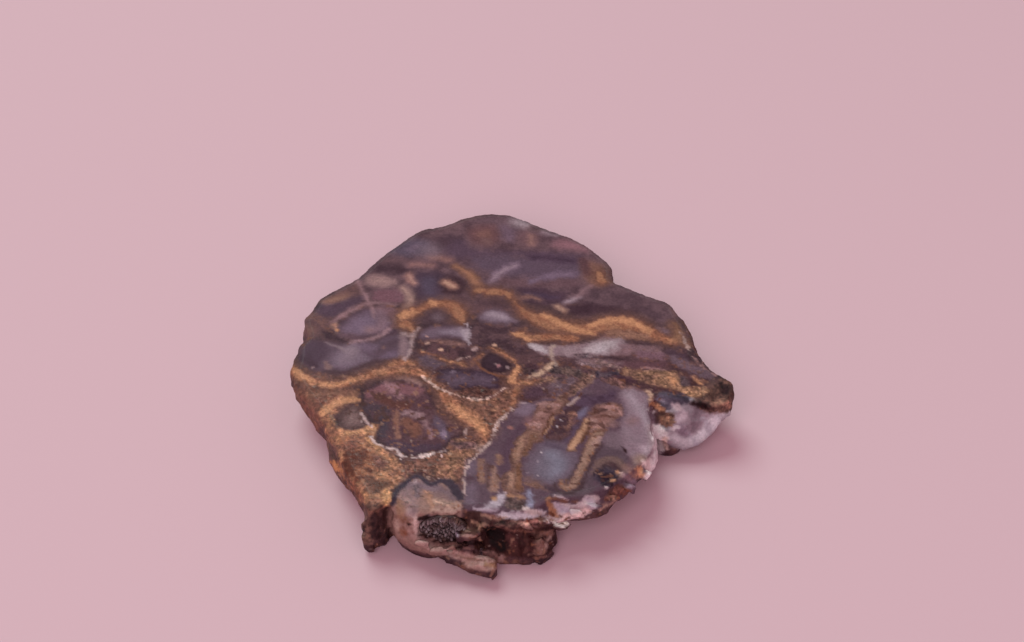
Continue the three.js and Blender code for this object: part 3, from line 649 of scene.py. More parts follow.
for tone, course in [
        ((164, 125, 121), [(3.6, -16.2, 1), (4.8, -16.4, 1.2)]),
        ((156, 118, 115), [(4.8, -11.2, 0.5), (7, -11.2, 0.8), (8.4, -11.6, 0.5)]),
        ((160, 119, 114), [(4.6, -14, 0.8), (6, -13.4, 0.7)]),
        ((102, 72, 68), [(6.3, -13.2, 0.8), (7.2, -13.4, 0.8)]),
        ((146, 110, 95), [(2.2, -19.4, 1), (1.4, -22, 1.2), (1, -24.6, 1)]),
        ((112, 80, 68), [(4, -19.4, 1), (3.2, -21.6, 1.2), (2.4, -23.4, 0.8)]),
        ((116, 80, 64), [(1.5, -26, 0.8), (1.5, -28.8, 1), (1.4, -31.6, 0.9)]),
        ((148, 112, 98), [(0, -28.4, 1.2), (-0.2, -31, 1.4)]),
        ((98, 71, 68), [(-0.6, -29, 0.4), (-0.9, -31.4, 0.4)])]:
    vein(tone, course, soft=0.7, rag=0.5, grains=0.5)
for tone, course in [
        ((92, 60, 50), [(7.4, -13.8, 0.35), (6.4, -16.6, 0.4), (5.6, -18.8, 0.35)]),
        ((148, 110, 90), [(7.7, -14.4, 0.4), (6.8, -16.8, 0.5), (6, -18.6, 0.4)]),
        ((84, 56, 50), [(8, -15, 0.35), (7.1, -17.4, 0.4), (6.3, -19, 0.35)]),
        ((92, 58, 46), [(12.8, -8.6, 0.4), (10.8, -11.4, 0.5)])]:
    vein(tone, course, soft=0.35)
vein((146, 112, 100), [(8.8, -10.4, 1.6), (11, -8.4, 1.5), (13.4, -5.8, 1.5), (15.6, -3.4, 1.4)], soft=0.8,
    rag=0.7, second=(118, 87, 81), grains=0.5)
vein((162, 136, 134), [(10.4, -11.4, 0.7), (11.4, -10.4, 0.9), (12, -9.6, 0.5)], soft=0.6, rag=0.4)
for tone, course in [
        ((128, 95, 86), [(-5.2, -25, 1.2), (-5, -27.6, 1.6), (-5, -30, 1.5)]),
        ((144, 110, 99), [(-5, -28, 1), (-5.2, -29.6, 1)]),
        ((142, 108, 98), [(-3.2, -26.6, 1), (-2.7, -29, 1.7), (-3, -31.6, 1.6)]),
        ((138, 102, 88), [(-2, -24, 0.9), (-2, -25.6, 1)]),
        ((90, 65, 66), [(-3.9, -26, 0.5), (-3.8, -29.6, 0.6), (-3.8, -31.4, 0.5)])]:
    vein(tone, course, soft=0.9, rag=0.6, grains=0.5)

# The far right is paler, nearly white at its edge.
patch((142, 118, 128), [(19.2, -8.4), (20.8, -6.6), (24.4, -8.2), (25, -10.2), (24.6, -13), (25.2, -16.6),
    (26.2, -19.6), (26, -23.6), (25.4, -26.4), (22.6, -26.4), (20.8, -24.6), (18.4, -20.6), (19.4, -17),
    (20.6, -13), (19.6, -10)], soft=1.8, grains=0.1, second=(132, 107, 117))
vein((158, 136, 146), [(21.4, -9, 1.6), (22.8, -12.4, 1.6), (24.4, -16.8, 1.4)], soft=1.8, rag=0.5)
vein((152, 127, 133), [(24.6, -17, 1.4), (25, -20.6, 2), (24.8, -23.6, 1.8)], soft=1.4)
fleck((130, 97, 97), 21.5, -15.5, 0.8, soft=2.6, strength=0.7)
fleck((146, 116, 106), 22.4, -25, 1.2, soft=2.6)
patch((98, 80, 88), [(14, -22.6), (16.6, -20.8), (19, -21.4), (20.4, -24), (20, -27), (18, -24.6),
    (15.4, -25), (13.8, -27.4), (14.6, -30.6), (14, -33), (11.6, -34.4), (8, -33.6), (7.4, -32.4),
    (9.6, -32.6), (11.4, -31), (12.4, -27.4)], soft=1, second=(86, 69, 77))

# The right fold: a pink head, a short gold arm, and a long arm that ends in a hook.
patch((144, 108, 103), [(15, -11.8), (16.4, -11), (18, -10.7), (19.6, -11.4), (20.1, -13), (19.4, -14.6),
    (18.2, -15.8), (17.2, -16.8), (16.8, -18.2), (15.8, -19.8), (14.4, -20.4), (13.4, -19), (12.4, -18.6),
    (12.6, -16.6), (13.4, -14.6), (14.6, -13.4)], soft=0.7, rag=0.5, second=(128, 91, 86),
    rim=(112, 81, 76), grains=0.5)
vein((150, 112, 94), [(13.5, -15.4, 1.4), (12.6, -17.8, 1.5), (11.7, -19.8, 1.6), (11, -21.2, 1.7),
    (10.6, -22.2, 1.6)], soft=0.5, rag=0.3, rim=(116, 82, 66), heart=(166, 126, 102), grains=0.45)
vein((144, 110, 98), [(15.4, -18.6, 2.4), (14.4, -21, 2.2), (13.4, -23.2, 1.9), (12.6, -25.2, 1.8),
    (11.8, -27.6, 1.8), (11, -30, 1.9), (10.1, -31.6, 1.7), (8.9, -31.2, 1.4), (8.5, -29.8, 1)], rag=0.35,
    soft=0.5, rim=(108, 79, 71), heart=(147, 115, 101), grains=0.45)
for tone, course in [
        ((166, 122, 118), [(16.6, -11.8, 0.8), (18.4, -12, 1.6), (19.2, -13.4, 1.2)]),
        ((170, 130, 124), [(13.6, -15, 0.7), (14.6, -15.6, 0.9)]),
        ((162, 120, 114), [(14.6, -16.8, 1), (16.2, -16.6, 1)]),
        ((162, 126, 119), [(15.4, -19.6, 1.2), (14.6, -21.4, 1)]),
        ((120, 84, 74), [(14.2, -13.6, 0.8), (15.6, -13.2, 0.8)])]:
    vein(tone, course, soft=0.8, rag=0.5)
for tone, course in [
        ((58, 42, 42), [(15.7, -13.2, 0.7), (16.5, -12.7, 0.8)]),
        ((92, 62, 56), [(18.4, -14.6, 0.4), (16.4, -14, 0.5), (15, -14.6, 0.4)]),
        ((86, 58, 48), [(13.8, -17, 0.4), (13.1, -19.2, 0.6), (12.4, -20.8, 0.4)]),
        ((100, 68, 58), [(14.4, -18.4, 0.35), (16.4, -17.8, 0.35)]),
        ((98, 66, 58), [(14.2, -19.4, 0.3), (16, -19, 0.3)]),
        ((74, 56, 60), [(16, -21, 0.4), (14.4, -24, 0.5), (13.2, -27.6, 0.6), (12.2, -31, 0.7),
            (10.4, -33, 0.8), (7.9, -32.4, 0.7), (7.6, -30.4, 0.5)]),
        ((80, 62, 66), [(12.2, -24, 0.4), (10.8, -27.4, 0.4), (9.9, -29.4, 0.5)]),
        ((104, 76, 66), [(9.4, -29.6, 0.6), (9.3, -30.6, 0.5)])]:
    vein(tone, course, soft=0.5, rag=0.25)

# The dark eye in its rings, and a small crack in the pale stone above it.
fleck((104, 81, 79), 16.9, -27.2, 2.7, soft=1.4, rag=0.5)
vein((110, 86, 82), [(14, -28, 0.8), (14.9, -25.4, 0.9), (17, -24.3, 0.9), (19, -25.4, 0.8),
    (19.9, -27.8, 0.6)], soft=1.1, rag=0.6, grains=0.3)
vein((82, 62, 62), [(15.6, -27, 0.6), (16.8, -25.6, 0.7), (18.4, -26.4, 0.6), (19, -28, 0.5)], soft=0.6)
vein((76, 56, 60), [(17.4, -26.4, 1.2), (18.2, -27.8, 1.6)], soft=1.2, rag=0.5)
patch((42, 33, 42), [(14.4, -27.4), (16, -26.4), (17.8, -27), (18.4, -29), (17.9, -30.6), (16.8, -31.8),
    (15.2, -30.9), (14.1, -29.2)], rag=0.8, grains=0.5, second=(62, 53, 63), soft=1)
for tone, at_u, at_v, radius in [
        ((200, 181, 181), 16.2, -31.4, 0.4), ((170, 122, 98), 18.4, -28.1, 0.45),
        ((172, 126, 102), 17.6, -29.9, 0.45), ((158, 122, 108), 19, -28.8, 0.35),
        ((150, 110, 92), 15.3, -28.2, 0.3)]:
    fleck(tone, at_u, at_v, radius)
vein((44, 30, 32), [(18.9, -21.6, 0.25), (19.6, -22.1, 0.45), (20.3, -23.3, 0.25)], soft=0.25)

# The pool's lower edge: hazy white and pale blue quartz over a dark hollow, then a
# shell-shaped lip of pinkish white, with rust in the cracks between.
vein((232, 216, 217), [(25.2, -17.2, 0.7), (26.1, -19.4, 1.2), (26.4, -21.6, 1.1), (26.2, -24, 0.8)],
    soft=0.5)
patch((66, 50, 49), [(-1.4, -36.4), (-1.1, -34), (0.2, -33.4), (2.2, -33.8), (2.4, -36), (1.2, -36.8)],
    rag=0.7, grains=0.7, soft=0.8, second=(92, 73, 72))
patch((92, 71, 81), [(4, -32), (6.2, -32.6), (6, -35.4), (5.8, -37.2), (4.4, -36.8), (4, -34.6)], soft=0.9,
    rag=0.6)
for tone, course in [
        ((188, 169, 180), [(-1.4, -33, 0.8), (-2, -34.6, 1.8), (-3.6, -35.6, 1.8)]),
        ((196, 176, 188), [(-5.8, -36.4, 1), (-4.2, -36.2, 1.4), (-2.6, -37, 1.4)]),
        ((228, 216, 224), [(-1.8, -37.7, 1.4), (0.6, -38, 2.2), (2.6, -37.9, 2), (4.8, -37.6, 2)]),
        ((150, 143, 166), [(2.9, -32.4, 0.9), (3.3, -34, 1.2), (3.3, -35.9, 1)]),
        ((216, 190, 188), [(2.4, -36.6, 1), (3.6, -37.1, 1.4), (5, -37.8, 1)])]:
    vein(tone, course, soft=0.8, rag=0.7, second=tuple(0.85 * value for value in tone))
vein((148, 108, 88), [(-0.4, -33.2, 0.5), (0.8, -33.3, 0.6), (2.2, -33.7, 0.8)], soft=0.6, rag=0.5)
fleck((158, 116, 88), -2.9, -33.9, 0.5, soft=0.6)
patch((200, 178, 181), [(7, -34.8), (8.6, -35.2), (10, -35.6), (11.6, -35.2), (12.2, -34), (12.8, -33),
    (14.6, -33.2), (15.2, -34), (14.8, -35.4), (14, -37), (12.6, -38.4), (11, -39.6), (9.6, -40.4),
    (8.8, -41.4), (7.4, -40.8), (5.4, -39.4), (6.4, -37.4)], soft=0.6, rag=0.4, second=(186, 162, 162))
for tone, course in [
        ((178, 160, 174), [(7.8, -35.6, 1), (8.6, -36.8, 1.8), (9.8, -37.4, 1.2)]),
        ((206, 168, 164), [(9.4, -38.8, 1.4), (11.4, -38.2, 1.6), (12.8, -37, 1)]),
        ((186, 163, 174), [(13, -34, 1), (13.8, -35.6, 1.8), (13.2, -37, 1)]),
        ((196, 169, 173), [(12.2, -35.4, 1.2), (10.6, -36.6, 1.2)])]:
    vein(tone, course, soft=1, rag=0.6)
vein((176, 151, 156), [(7.3, -33.3, 0.4), (8.8, -33.9, 0.6), (9.8, -34.5, 0.4)], soft=0.4)
vein((114, 76, 66), [(7, -34, 0.6), (9, -34.7, 0.8), (10.8, -34.8, 0.7)], soft=0.5, rag=0.5)
for tone, course in [
        ((150, 103, 78), [(6.2, -33.9, 0.6), (6.4, -36, 0.9), (7.2, -37.4, 1), (7.8, -38.5, 0.8)]),
        ((104, 64, 50), [(6.3, -37.6, 0.8), (7.2, -38.3, 0.9)])]:
    vein(tone, course, soft=0.6, rag=0.5)
vein((76, 44, 39), [(8.1, -38.1, 0.3), (8.9, -39.3, 0.35)], soft=0.3, rag=0.3)
patch((112, 74, 67), [(15.4, -34.6), (16.6, -33), (17.2, -31.2), (19.2, -31), (19.8, -32.4), (18.4, -34.2),
    (16.6, -35.6)], rag=0.7, grains=0.8, second=(132, 90, 78))
vein((176, 136, 124), [(15, -36.9, 0.8), (16.4, -35.8, 0.9), (17.6, -34.8, 0.7)], soft=0.8, rag=0.6)
vein((148, 124, 138), [(20, -29, 1.2), (20.8, -31, 1.2)], soft=0.9)

# Dark jasper pools, each with its own cast.
patch((78, 61, 74), [(-13.6, -2.6), (-11.8, -1.6), (-8, -2.6), (-4.6, -2.8), (-2.6, -3.8), (-1.6, -5.6),
    (-2.2, -7.4), (-4, -7.6), (-7, -7.4), (-10.4, -7.8), (-12.6, -7.2), (-13.8, -5)], rim=(56, 41, 51),
    heart=(93, 74, 87), rag=0.3)
patch((56, 40, 47), [(-5.4, 0.6), (-4, 2.4), (-2.4, 1.6), (-0.4, 0.2), (0.4, -1.6), (-0.6, -3),
    (-2.6, -3.4), (-5, -2.4), (-5.8, -1)], grains=0.1, rag=0.3, rim=(45, 31, 36))
vein((118, 77, 62), [(-6.6, 0.2, 0.4), (-5.6, -2, 0.45), (-3.2, -3.8, 0.5), (-0.8, -4.2, 0.5)], soft=0.35)
patch((86, 58, 54), [(-9.6, -7.6), (-6, -6.6), (-2.8, -8), (-3.4, -9.4), (-7.6, -9.8), (-9.6, -8.8)],
    grains=0.9)
patch((64, 43, 47), [(-17.4, 5), (-15.6, 4.8), (-13.4, 5), (-11.6, 4), (-8.4, 3.2), (-6.6, 2.4), (-7.4, 1),
    (-9.8, -0.2), (-12.6, 0.8), (-15, 1.8), (-16.6, 3)], second=(86, 57, 60))
patch((87, 68, 78), [(-18, 0), (-16, 2), (-13, 0.4), (-11.4, -1), (-13.6, -1.8), (-15.4, -3),
    (-16.4, -1.4)])
patch((64, 44, 49), [(-7.4, 9.6), (-6, 10), (-3, 9.2), (0, 9), (2.4, 8.2), (0.6, 7.2), (0.8, 5.4),
    (2.6, 4.4), (3.2, 3), (1.4, 1.4), (-0.4, 3), (-2.8, 3.4), (-5.8, 3.6), (-7.4, 5)], second=(86, 60, 63))
patch((68, 46, 51), [(1.8, -1.4), (3.6, -0.4), (5, -1.4), (4.8, -3.4), (3, -4.6), (1.8, -3.4)], soft=0.7)
patch((95, 67, 72), [(-27.4, -10), (-25.6, -6.4), (-22.6, -4.8), (-19, -4.4), (-16.4, -5), (-14.6, -7.4),
    (-14, -10), (-12.8, -12.8), (-10, -14.8), (-8.2, -16.6), (-8, -19), (-10.4, -20), (-10.8, -22),
    (-14, -23.2), (-17, -24.2), (-18.6, -23.6), (-20.6, -21.6), (-23.8, -20.8), (-23.4, -18),
    (-22.6, -15.6), (-24.6, -16), (-26, -13.4)], rim=(60, 43, 49), second=(82, 56, 63), rag=0.4, soft=0.7)
for tone, course in [
        ((121, 81, 87), [(-25, -8.6, 2.2), (-21, -7, 3), (-17, -8, 2.6)]),
        ((148, 108, 114), [(-22.6, -6, 1.2), (-20.8, -8, 1.8), (-19.8, -9.4, 1)]),
        ((144, 109, 105), [(-20.2, -4.4, 1), (-18, -5, 1.4), (-16.6, -6, 1)]),
        ((92, 57, 53), [(-23.6, -9.6, 1.8), (-21, -11.4, 2), (-18.6, -11.6, 1.8)]),
        ((74, 57, 66), [(-25.4, -12.4, 2), (-22.6, -13, 2)]),
        ((70, 56, 66), [(-22.4, -14.6, 1.6), (-22.4, -18.6, 1.8)]),
        ((136, 95, 82), [(-20.4, -13, 0.9), (-20.2, -16, 1), (-19.8, -19.4, 0.9)]),
        ((144, 112, 116), [(-18.6, -13.4, 1.2), (-16.4, -14, 1.8)]),
        ((116, 76, 66), [(-18, -16, 2.4), (-16.8, -17.6, 2.8), (-16.8, -19.2, 1.2)]),
        ((142, 107, 111), [(-15.4, -15.4, 0.8), (-14.4, -17.6, 1), (-14, -19.6, 0.8)]),
        ((92, 74, 88), [(-13.2, -15, 1.6), (-12, -17.4, 2.6), (-11.4, -19.4, 2)]),
        ((134, 112, 130), [(-12, -18, 1), (-11.8, -19, 1.2)]),
        ((76, 56, 69), [(-21, -21, 1.4), (-17, -22.4, 2.2), (-13, -21.8, 2)])]:
    vein(tone, course, soft=1, rag=0.7)
patch((107, 81, 81), [(-30.8, -15.4), (-29.6, -12), (-28, -10.8), (-27, -11.4), (-26, -14), (-25.2, -16),
    (-26.4, -17.6), (-29.6, -17.8)], rim=(86, 62, 63), heart=(128, 100, 99), rag=0.4)
for tone, course in [
        ((130, 97, 102), [(19, 3, 3), (23, 3.2, 3), (27, 2.6, 2.4)]),
        ((118, 84, 93), [(24, 1.6, 2), (28, 1.2, 2)]),
        ((92, 62, 67), [(20, -1, 2), (25, -1.2, 2.4), (29, -0.8, 1.6)]),
        ((120, 90, 95), [(13, 0, 1.6), (17, -0.6, 1.8), (20, -0.6, 1)]),
        ((70, 50, 58), [(29.4, 2.6, 1.8), (31.4, 1.2, 2.2)]),
        ((103, 80, 89), [(30, 0.4, 2), (33, -2, 2.6), (36, -3.8, 1.8)]),
        ((70, 47, 55), [(14.4, -3, 1.8), (18, -3.4, 2.2), (22, -5, 1.4)]),
        ((62, 52, 63), [(15.6, -4, 1.2), (17.6, -4.6, 1.2)]),
        ((113, 86, 96), [(27.4, 8.8, 1.6), (29, 8, 1.4)])]:
    vein(tone, course, soft=1.1, rag=0.7)
patch((156, 128, 133), [(3.2, 4.8), (4.6, 4.6), (6, 4.2), (8, 4), (11, 4.4), (14, 4.8), (16, 6), (19, 7),
    (21.4, 6.8), (21, 4.6), (19.4, 2), (17, 1.2), (14, 1), (11, 1), (8.6, 1.4), (6.6, 1.4), (5, 2.2)],
    soft=1, rag=0.6, second=(136, 107, 113), grains=0.3)
vein((178, 155, 159), [(14.4, 2.8, 1.6), (16.6, 3.8, 2.8), (18.8, 4.6, 2)], soft=1.2, rag=0.6)
fleck((169, 144, 152), 4.7, 3.4, 0.8, soft=0.7)
for tone, second, course in [
        ((64, 52, 53), (90, 70, 66), [(7.4, -2.4, 1.4), (9.4, -2.6, 2.6), (11.4, -3, 2.2),
            (12.6, -3.8, 1.2)]),
        ((118, 88, 80), (88, 64, 62), [(16.4, -1.8, 1.4), (14.6, -3.6, 2), (12.6, -5.6, 2), (11, -8, 1.6)]),
        ((112, 80, 76), (88, 62, 62), [(17, -4.8, 1.4), (18.8, -5.2, 2), (20, -6.6, 1.2)]),
        ((144, 108, 93), (112, 82, 73), [(2, -5.2, 1.2), (4.6, -5.6, 1.4), (7.4, -5, 1.2),
            (9.4, -4.6, 0.7)]),
        ((60, 50, 60), (76, 62, 68), [(15.8, -3.2, 1), (17.8, -3.7, 1.6), (19.8, -3, 0.9)]),
        ((60, 46, 50), (80, 60, 62), [(2.4, -2.4, 1), (3.4, -3, 1.4), (4.6, -3, 0.8)]),
        ((84, 64, 68), (104, 82, 86), [(12.2, 1.2, 0.9), (14, 1.5, 1.2), (16.2, 1, 0.7)]),
        ((150, 121, 124), (118, 92, 96), [(12.2, 0, 0.7), (14, -0.8, 1.1), (16, -1.2, 0.7)]),
        ((156, 124, 121), (122, 94, 92), [(14.8, -0.2, 0.8), (17, -0.8, 1.3), (20, -1.8, 0.9)]),
        ((148, 116, 108), (120, 90, 86), [(19.6, -2.6, 0.5), (22, -3, 0.7), (25, -2.8, 0.5),
            (28, -2.8, 0.4)])]:
    vein(tone, course, soft=0.6, rag=0.9, second=second, grains=0.8)
vein((146, 108, 108), [(24, -1.9, 0.5), (28, -2.3, 0.5)], soft=0.5)

# Ribbons of ochre wind across the whole face.
OCHRE = (150, 105, 83)
GOLD = (174, 123, 94)
for course in [
        [(-40, -2.5, 3), (-38.5, -4.5, 2.5), (-35, -6.3, 2.6), (-31, -6.4, 2.4), (-28, -5, 2.2),
         (-25, -3.4, 2.6), (-22, -2.4, 3.4), (-19, -2, 3.2), (-16, -3.6, 2), (-14.5, -5.5, 1.6),
         (-12, -8.4, 2.4), (-11, -11, 3.4), (-9, -13, 4.4), (-6, -15.5, 4.2), (-4.5, -18.5, 3),
         (-4.5, -20, 1.5)],
        [(-22, -1, 1.5), (-20, -0.3, 1.8), (-18, -0.8, 1.5)],
        [(-3.6, 3.4, 1), (-1, 1.6, 1.2), (1, -0.5, 1.1), (1.4, -2, 1.2), (0.6, -4, 2), (0, -5.5, 2.6),
         (1.5, -6.5, 1.8), (0.5, -9, 1.6), (0.5, -11, 1.4), (-1, -12.5, 1.4), (-1.5, -14, 1)],
        [(0.6, -5.6, 1.6), (3, -6, 1.6), (4.6, -5.2, 1)],
        [(-5, 1.8, 0.6), (-6.4, 0.2, 0.7)],
        [(-16.5, 2.5, 0.6), (-13.5, 1, 0.7), (-11, -0.4, 0.9), (-9.5, -0.6, 0.9), (-8, -1.8, 0.6)],
        [(-20.4, 10.6, 2.6), (-19.6, 13, 3.6), (-17, 14.4, 1.8), (-15, 16, 2.2), (-12.6, 16, 2.2),
         (-10.6, 14.6, 3), (-9.6, 12.4, 3.2), (-9, 10.6, 1.6)],
        [(0.5, 17, 1.5), (1.5, 15, 1.6), (3, 12.5, 2.8), (6, 11, 4.2), (8.5, 9.5, 4.8), (11.5, 8.6, 4),
         (14, 8.4, 3.6), (17, 9.4, 4), (20, 10.3, 4.6), (23, 9.8, 4.2), (25.5, 8.4, 3.4), (27, 6.6, 2.4),
         (30.5, 5, 2.6), (31, 7, 1.6)],
        [(2, 7, 2.4), (3.5, 6.2, 2), (8, 6.6, 2.4), (12, 6, 2)],
        [(-6.6, 19.8, 2), (-4, 19.3, 2.2), (-1, 19.1, 2.2), (-0.2, 17.6, 1.5)],
        [(17, 25, 1.8), (17.6, 22.6, 2.2)],
        [(-20, 10, 2.5), (-18.5, 8.5, 2)]]:
    halo = [(at_u, at_v, 1.7 * width) for at_u, at_v, width in course]
    vein((110, 78, 70), halo, soft=1.8, rag=1, grains=0.5, strength=0.6)
    vein(OCHRE, course, soft=0.9, rag=0.9, second=(129, 85, 68), grains=0.75,
         rim=(114, 78, 68))
vein((140, 104, 85), [(21, -2.8, 2), (26, -5, 4), (29.5, -4.6, 4), (31, -7, 2.6), (33, -8.6, 2.4),
    (35, -7.4, 2)], soft=0.9, rag=0.9, second=(116, 85, 74), grains=0.8)
vein((84, 67, 72), [(31.4, -4.6, 1.4), (31.6, -6, 1.6)], soft=0.7)
for course in [
        [(6, 12.6, 1.2), (8.6, 10.8, 1.6), (11, 9, 1.6), (15, 7.4, 1)],
        [(15, 9.6, 1.2), (18, 11.2, 1.6), (21, 11.4, 2), (24, 9.8, 1.8), (26, 8, 1)],
        [(0.5, 7.5, 1), (2.5, 6.5, 1.2), (3.2, 5.5, 1)],
        [(-10.8, -11.4, 1), (-8.4, -14, 1.8), (-5.6, -16.2, 1.4), (-4.7, -19, 0.9)],
        [(-39.2, -2.6, 1.4), (-38, -4, 1.6), (-36, -5.4, 1)],
        [(-34.6, -6.4, 0.9), (-31.6, -6.2, 1.1), (-28.6, -5, 0.9)],
        [(-15, 16.8, 1.2), (-14.4, 16, 1.4)],
        [(-20.4, 12.4, 1.6), (-19, 13.6, 1.4)],
        [(1.1, -1.4, 0.7), (0.8, -3.4, 1), (0.4, -5.4, 1.2)],
        [(29, -4.6, 1), (29.6, -6, 1)],
        [(33.4, -4.4, 0.8), (34.4, -6, 0.9)]]:
    vein(GOLD, course, soft=0.8, rag=0.6, grains=0.6)
# They end in brown at the right.
patch((133, 97, 80), [(28.6, 10), (30.4, 11.6), (31.8, 9.8), (32.8, 6.6), (33.8, 3.2), (32.2, 3.2),
    (31, 5.4), (29.6, 7.4)], soft=1.4, grains=0.5, second=(110, 79, 70))
vein((108, 78, 66), [(32.6, 10.6, 0.9), (34, 7, 1.2), (34.8, 3.4, 0.9)], soft=1, rag=0.4)
vein((138, 100, 86), [(18.4, 7.4, 1.2), (21.6, 7.2, 2.2), (25, 6.2, 1.8)], soft=1.4, rag=0.9, grains=0.6)

# Soft clouds in the chalcedony.
for tone, at_u, at_v, radius in [
        ((136, 112, 121), -29.7, 2.9, 1.6), ((120, 98, 107), 18.2, -20.2, 2),
        ((136, 98, 94), 20.5, -27.3, 0.9), ((124, 90, 84), -37.6, 8.4, 1),
        ((124, 101, 111), -16, 31.9, 1.8), ((104, 77, 74), 36.8, -6.4, 1.2),
        ((172, 146, 156), 23.6, -22.4, 1.2), ((136, 104, 112), 20.2, -28.8, 0.9),
        ((136, 102, 99), 17.9, -16.3, 0.8), ((154, 126, 122), -5.6, -22.4, 0.7),
        ((86, 62, 68), 11.4, -15.3, 0.7), ((78, 56, 64), -7, -29.5, 0.9), ((110, 84, 98), 4.8, -35, 0.7),
        ((134, 95, 95), 3.4, -15.3, 0.8), ((108, 77, 74), 16, -12.8, 0.6),
        ((110, 68, 57), -23.3, -27.4, 0.8), ((158, 104, 78), -29, -20.2, 0.8),
        ((154, 114, 103), -21, -22.6, 0.6), ((192, 170, 176), 16.5, 2.9, 0.9),
        ((78, 60, 66), 8.9, -5.1, 0.7), ((60, 42, 50), -7.5, -2.5, 0.7),
        ((142, 106, 110), -26.4, 8.4, 0.9)]:
    fleck(tone, at_u, at_v, radius, soft=2.2, rag=0.6)

# The left corner is redder, with a dark and a golden end.
patch((98, 58, 50), [(-29, -22.6), (-26.8, -21.6), (-24, -23.4), (-23.4, -27), (-25, -30), (-27.6, -29.6),
    (-28.8, -26)], soft=1.2, rag=1, grains=0.6, second=(132, 86, 66), strength=1)
for tone, course in [
        ((88, 68, 64), [(-31.4, -22.6, 1.2), (-30.6, -24.8, 1.6)]),
        ((86, 50, 43), [(-28.4, -26, 1.4), (-27.6, -28.4, 1.4)]),
        ((178, 120, 82), [(-30.8, -26.4, 1), (-29.8, -28, 1.4)]),
        ((96, 64, 55), [(-23.4, -30.2, 1.2), (-22, -31.2, 1.8), (-20.8, -30.6, 1)])]:
    vein(tone, course, soft=0.9, rag=0.8, grains=0.5)

# Fine veins of white and cream chalcedony edge the pools.
CREAM = (200, 169, 164)
for tone, course in [
        ((182, 157, 165), [(-8.1, 9.9, 0.4), (-7.8, 7.6, 0.9), (-7.9, 5.8, 0.7), (-7.8, 4.4, 0.4)]),
        ((160, 128, 123), [(-9.8, 0.1, 0.3), (-7.4, 1.2, 0.35)]),
        ((177, 144, 138), [(31.8, 7.6, 0.4), (32.4, 5.4, 0.6), (32.9, 3, 0.5)]),
        ((156, 118, 117), [(33.4, 1, 0.35), (35, -1.8, 0.4), (37.4, -4, 0.5)]),
        ((206, 168, 158), [(-16, -4.4, 0.4), (-14.4, -6, 0.6), (-12.6, -7.6, 0.5), (-10.6, -8.4, 0.7),
            (-9, -9.6, 0.4), (-6.6, -10.2, 0.45), (-3.6, -10, 0.4), (-2.2, -8.2, 0.5), (-1, -7.2, 0.35)]),
        (CREAM, [(-8, -32.6, 0.5), (-7.8, -28.5, 0.35), (-7.2, -26, 0.4), (-6, -23.6, 0.6),
            (-4, -21.4, 0.6), (-3, -19.6, 0.5), (-2.8, -17.6, 0.4), (-2, -15.4, 0.45), (0.2, -12.4, 0.3)]),
        ((212, 184, 182), [(-24.6, -19.4, 0.6), (-23.6, -20.9, 0.4), (-21.6, -21.9, 0.3),
            (-19.8, -22.4, 0.45), (-18.8, -24, 0.45), (-17.2, -24.6, 0.6), (-15, -24, 0.55),
            (-12.6, -23.2, 0.4), (-11, -22.6, 0.25)]),
        ((194, 164, 163), [(-26.6, -13.6, 0.3), (-25.4, -15.8, 0.5), (-24.8, -16.8, 0.3)]),
        ((160, 131, 127), [(-7.8, -17.4, 0.35), (-8, -19, 0.35)]),
        ((166, 135, 123), [(-14.4, -29.2, 0.4), (-13.2, -29.6, 0.4), (-11.8, -29.2, 0.4),
            (-10.2, -30.2, 0.4), (-8.8, -32, 0.4), (-8.2, -33.6, 0.4)])]:
    vein(tone, course, soft=0.3, rag=0.5, second=tuple(0.82 * value for value in tone))
    for at_u, at_v, _ in eased(np.array(course, float), False)[::2]:
        stray = chance.normal(0, 0.45, 2)
        fleck(tone, at_u + stray[0], at_v + stray[1], chance.uniform(0.05, 0.16), soft=0.25)
for tone, course in [
        ((150, 113, 117), [(-29.6, 22.6, 0.6), (-28.6, 19.6, 0.9), (-27.4, 17, 1), (-26.6, 15.6, 0.8),
            (-26.1, 13.6, 0.6), (-25.9, 11.6, 0.3)]),
        ((144, 107, 111), [(-33.6, 10.8, 1), (-31.6, 12.8, 1.3), (-29.2, 14.8, 1.3), (-27.2, 16.2, 0.9),
            (-24.6, 16.2, 0.7), (-22, 15.4, 0.6)]),
        ((150, 114, 119), [(-29.8, 5, 0.5), (-26.6, 5.6, 0.8), (-24.6, 6.6, 0.9), (-22.8, 8.4, 1)]),
        ((160, 131, 131), [(-20.2, 7.4, 0.6), (-18.6, 6.6, 0.9), (-17.2, 8.8, 0.6)]),
        ((168, 139, 139), [(-18.2, 6.6, 0.7), (-18.6, 4, 1), (-18.9, 2, 0.9), (-19.4, 0.4, 0.7)]),
        ((168, 141, 132), [(7.8, 4.2, 0.7), (7.5, 2.2, 0.9), (7.6, 0.4, 1.1), (8.4, -1.2, 0.5)]),
        ((182, 147, 128), [(7.4, -0.6, 0.8), (6.6, -2, 1), (5.4, -3.2, 1.1), (4.2, -4, 0.7),
            (3.2, -4.4, 0.4)]),
        ((184, 163, 167), [(3.8, 4.2, 0.9), (5.2, 3.4, 1.5), (6.6, 2.6, 1)])]:
    vein(tone, course, soft=0.8, rag=0.5)
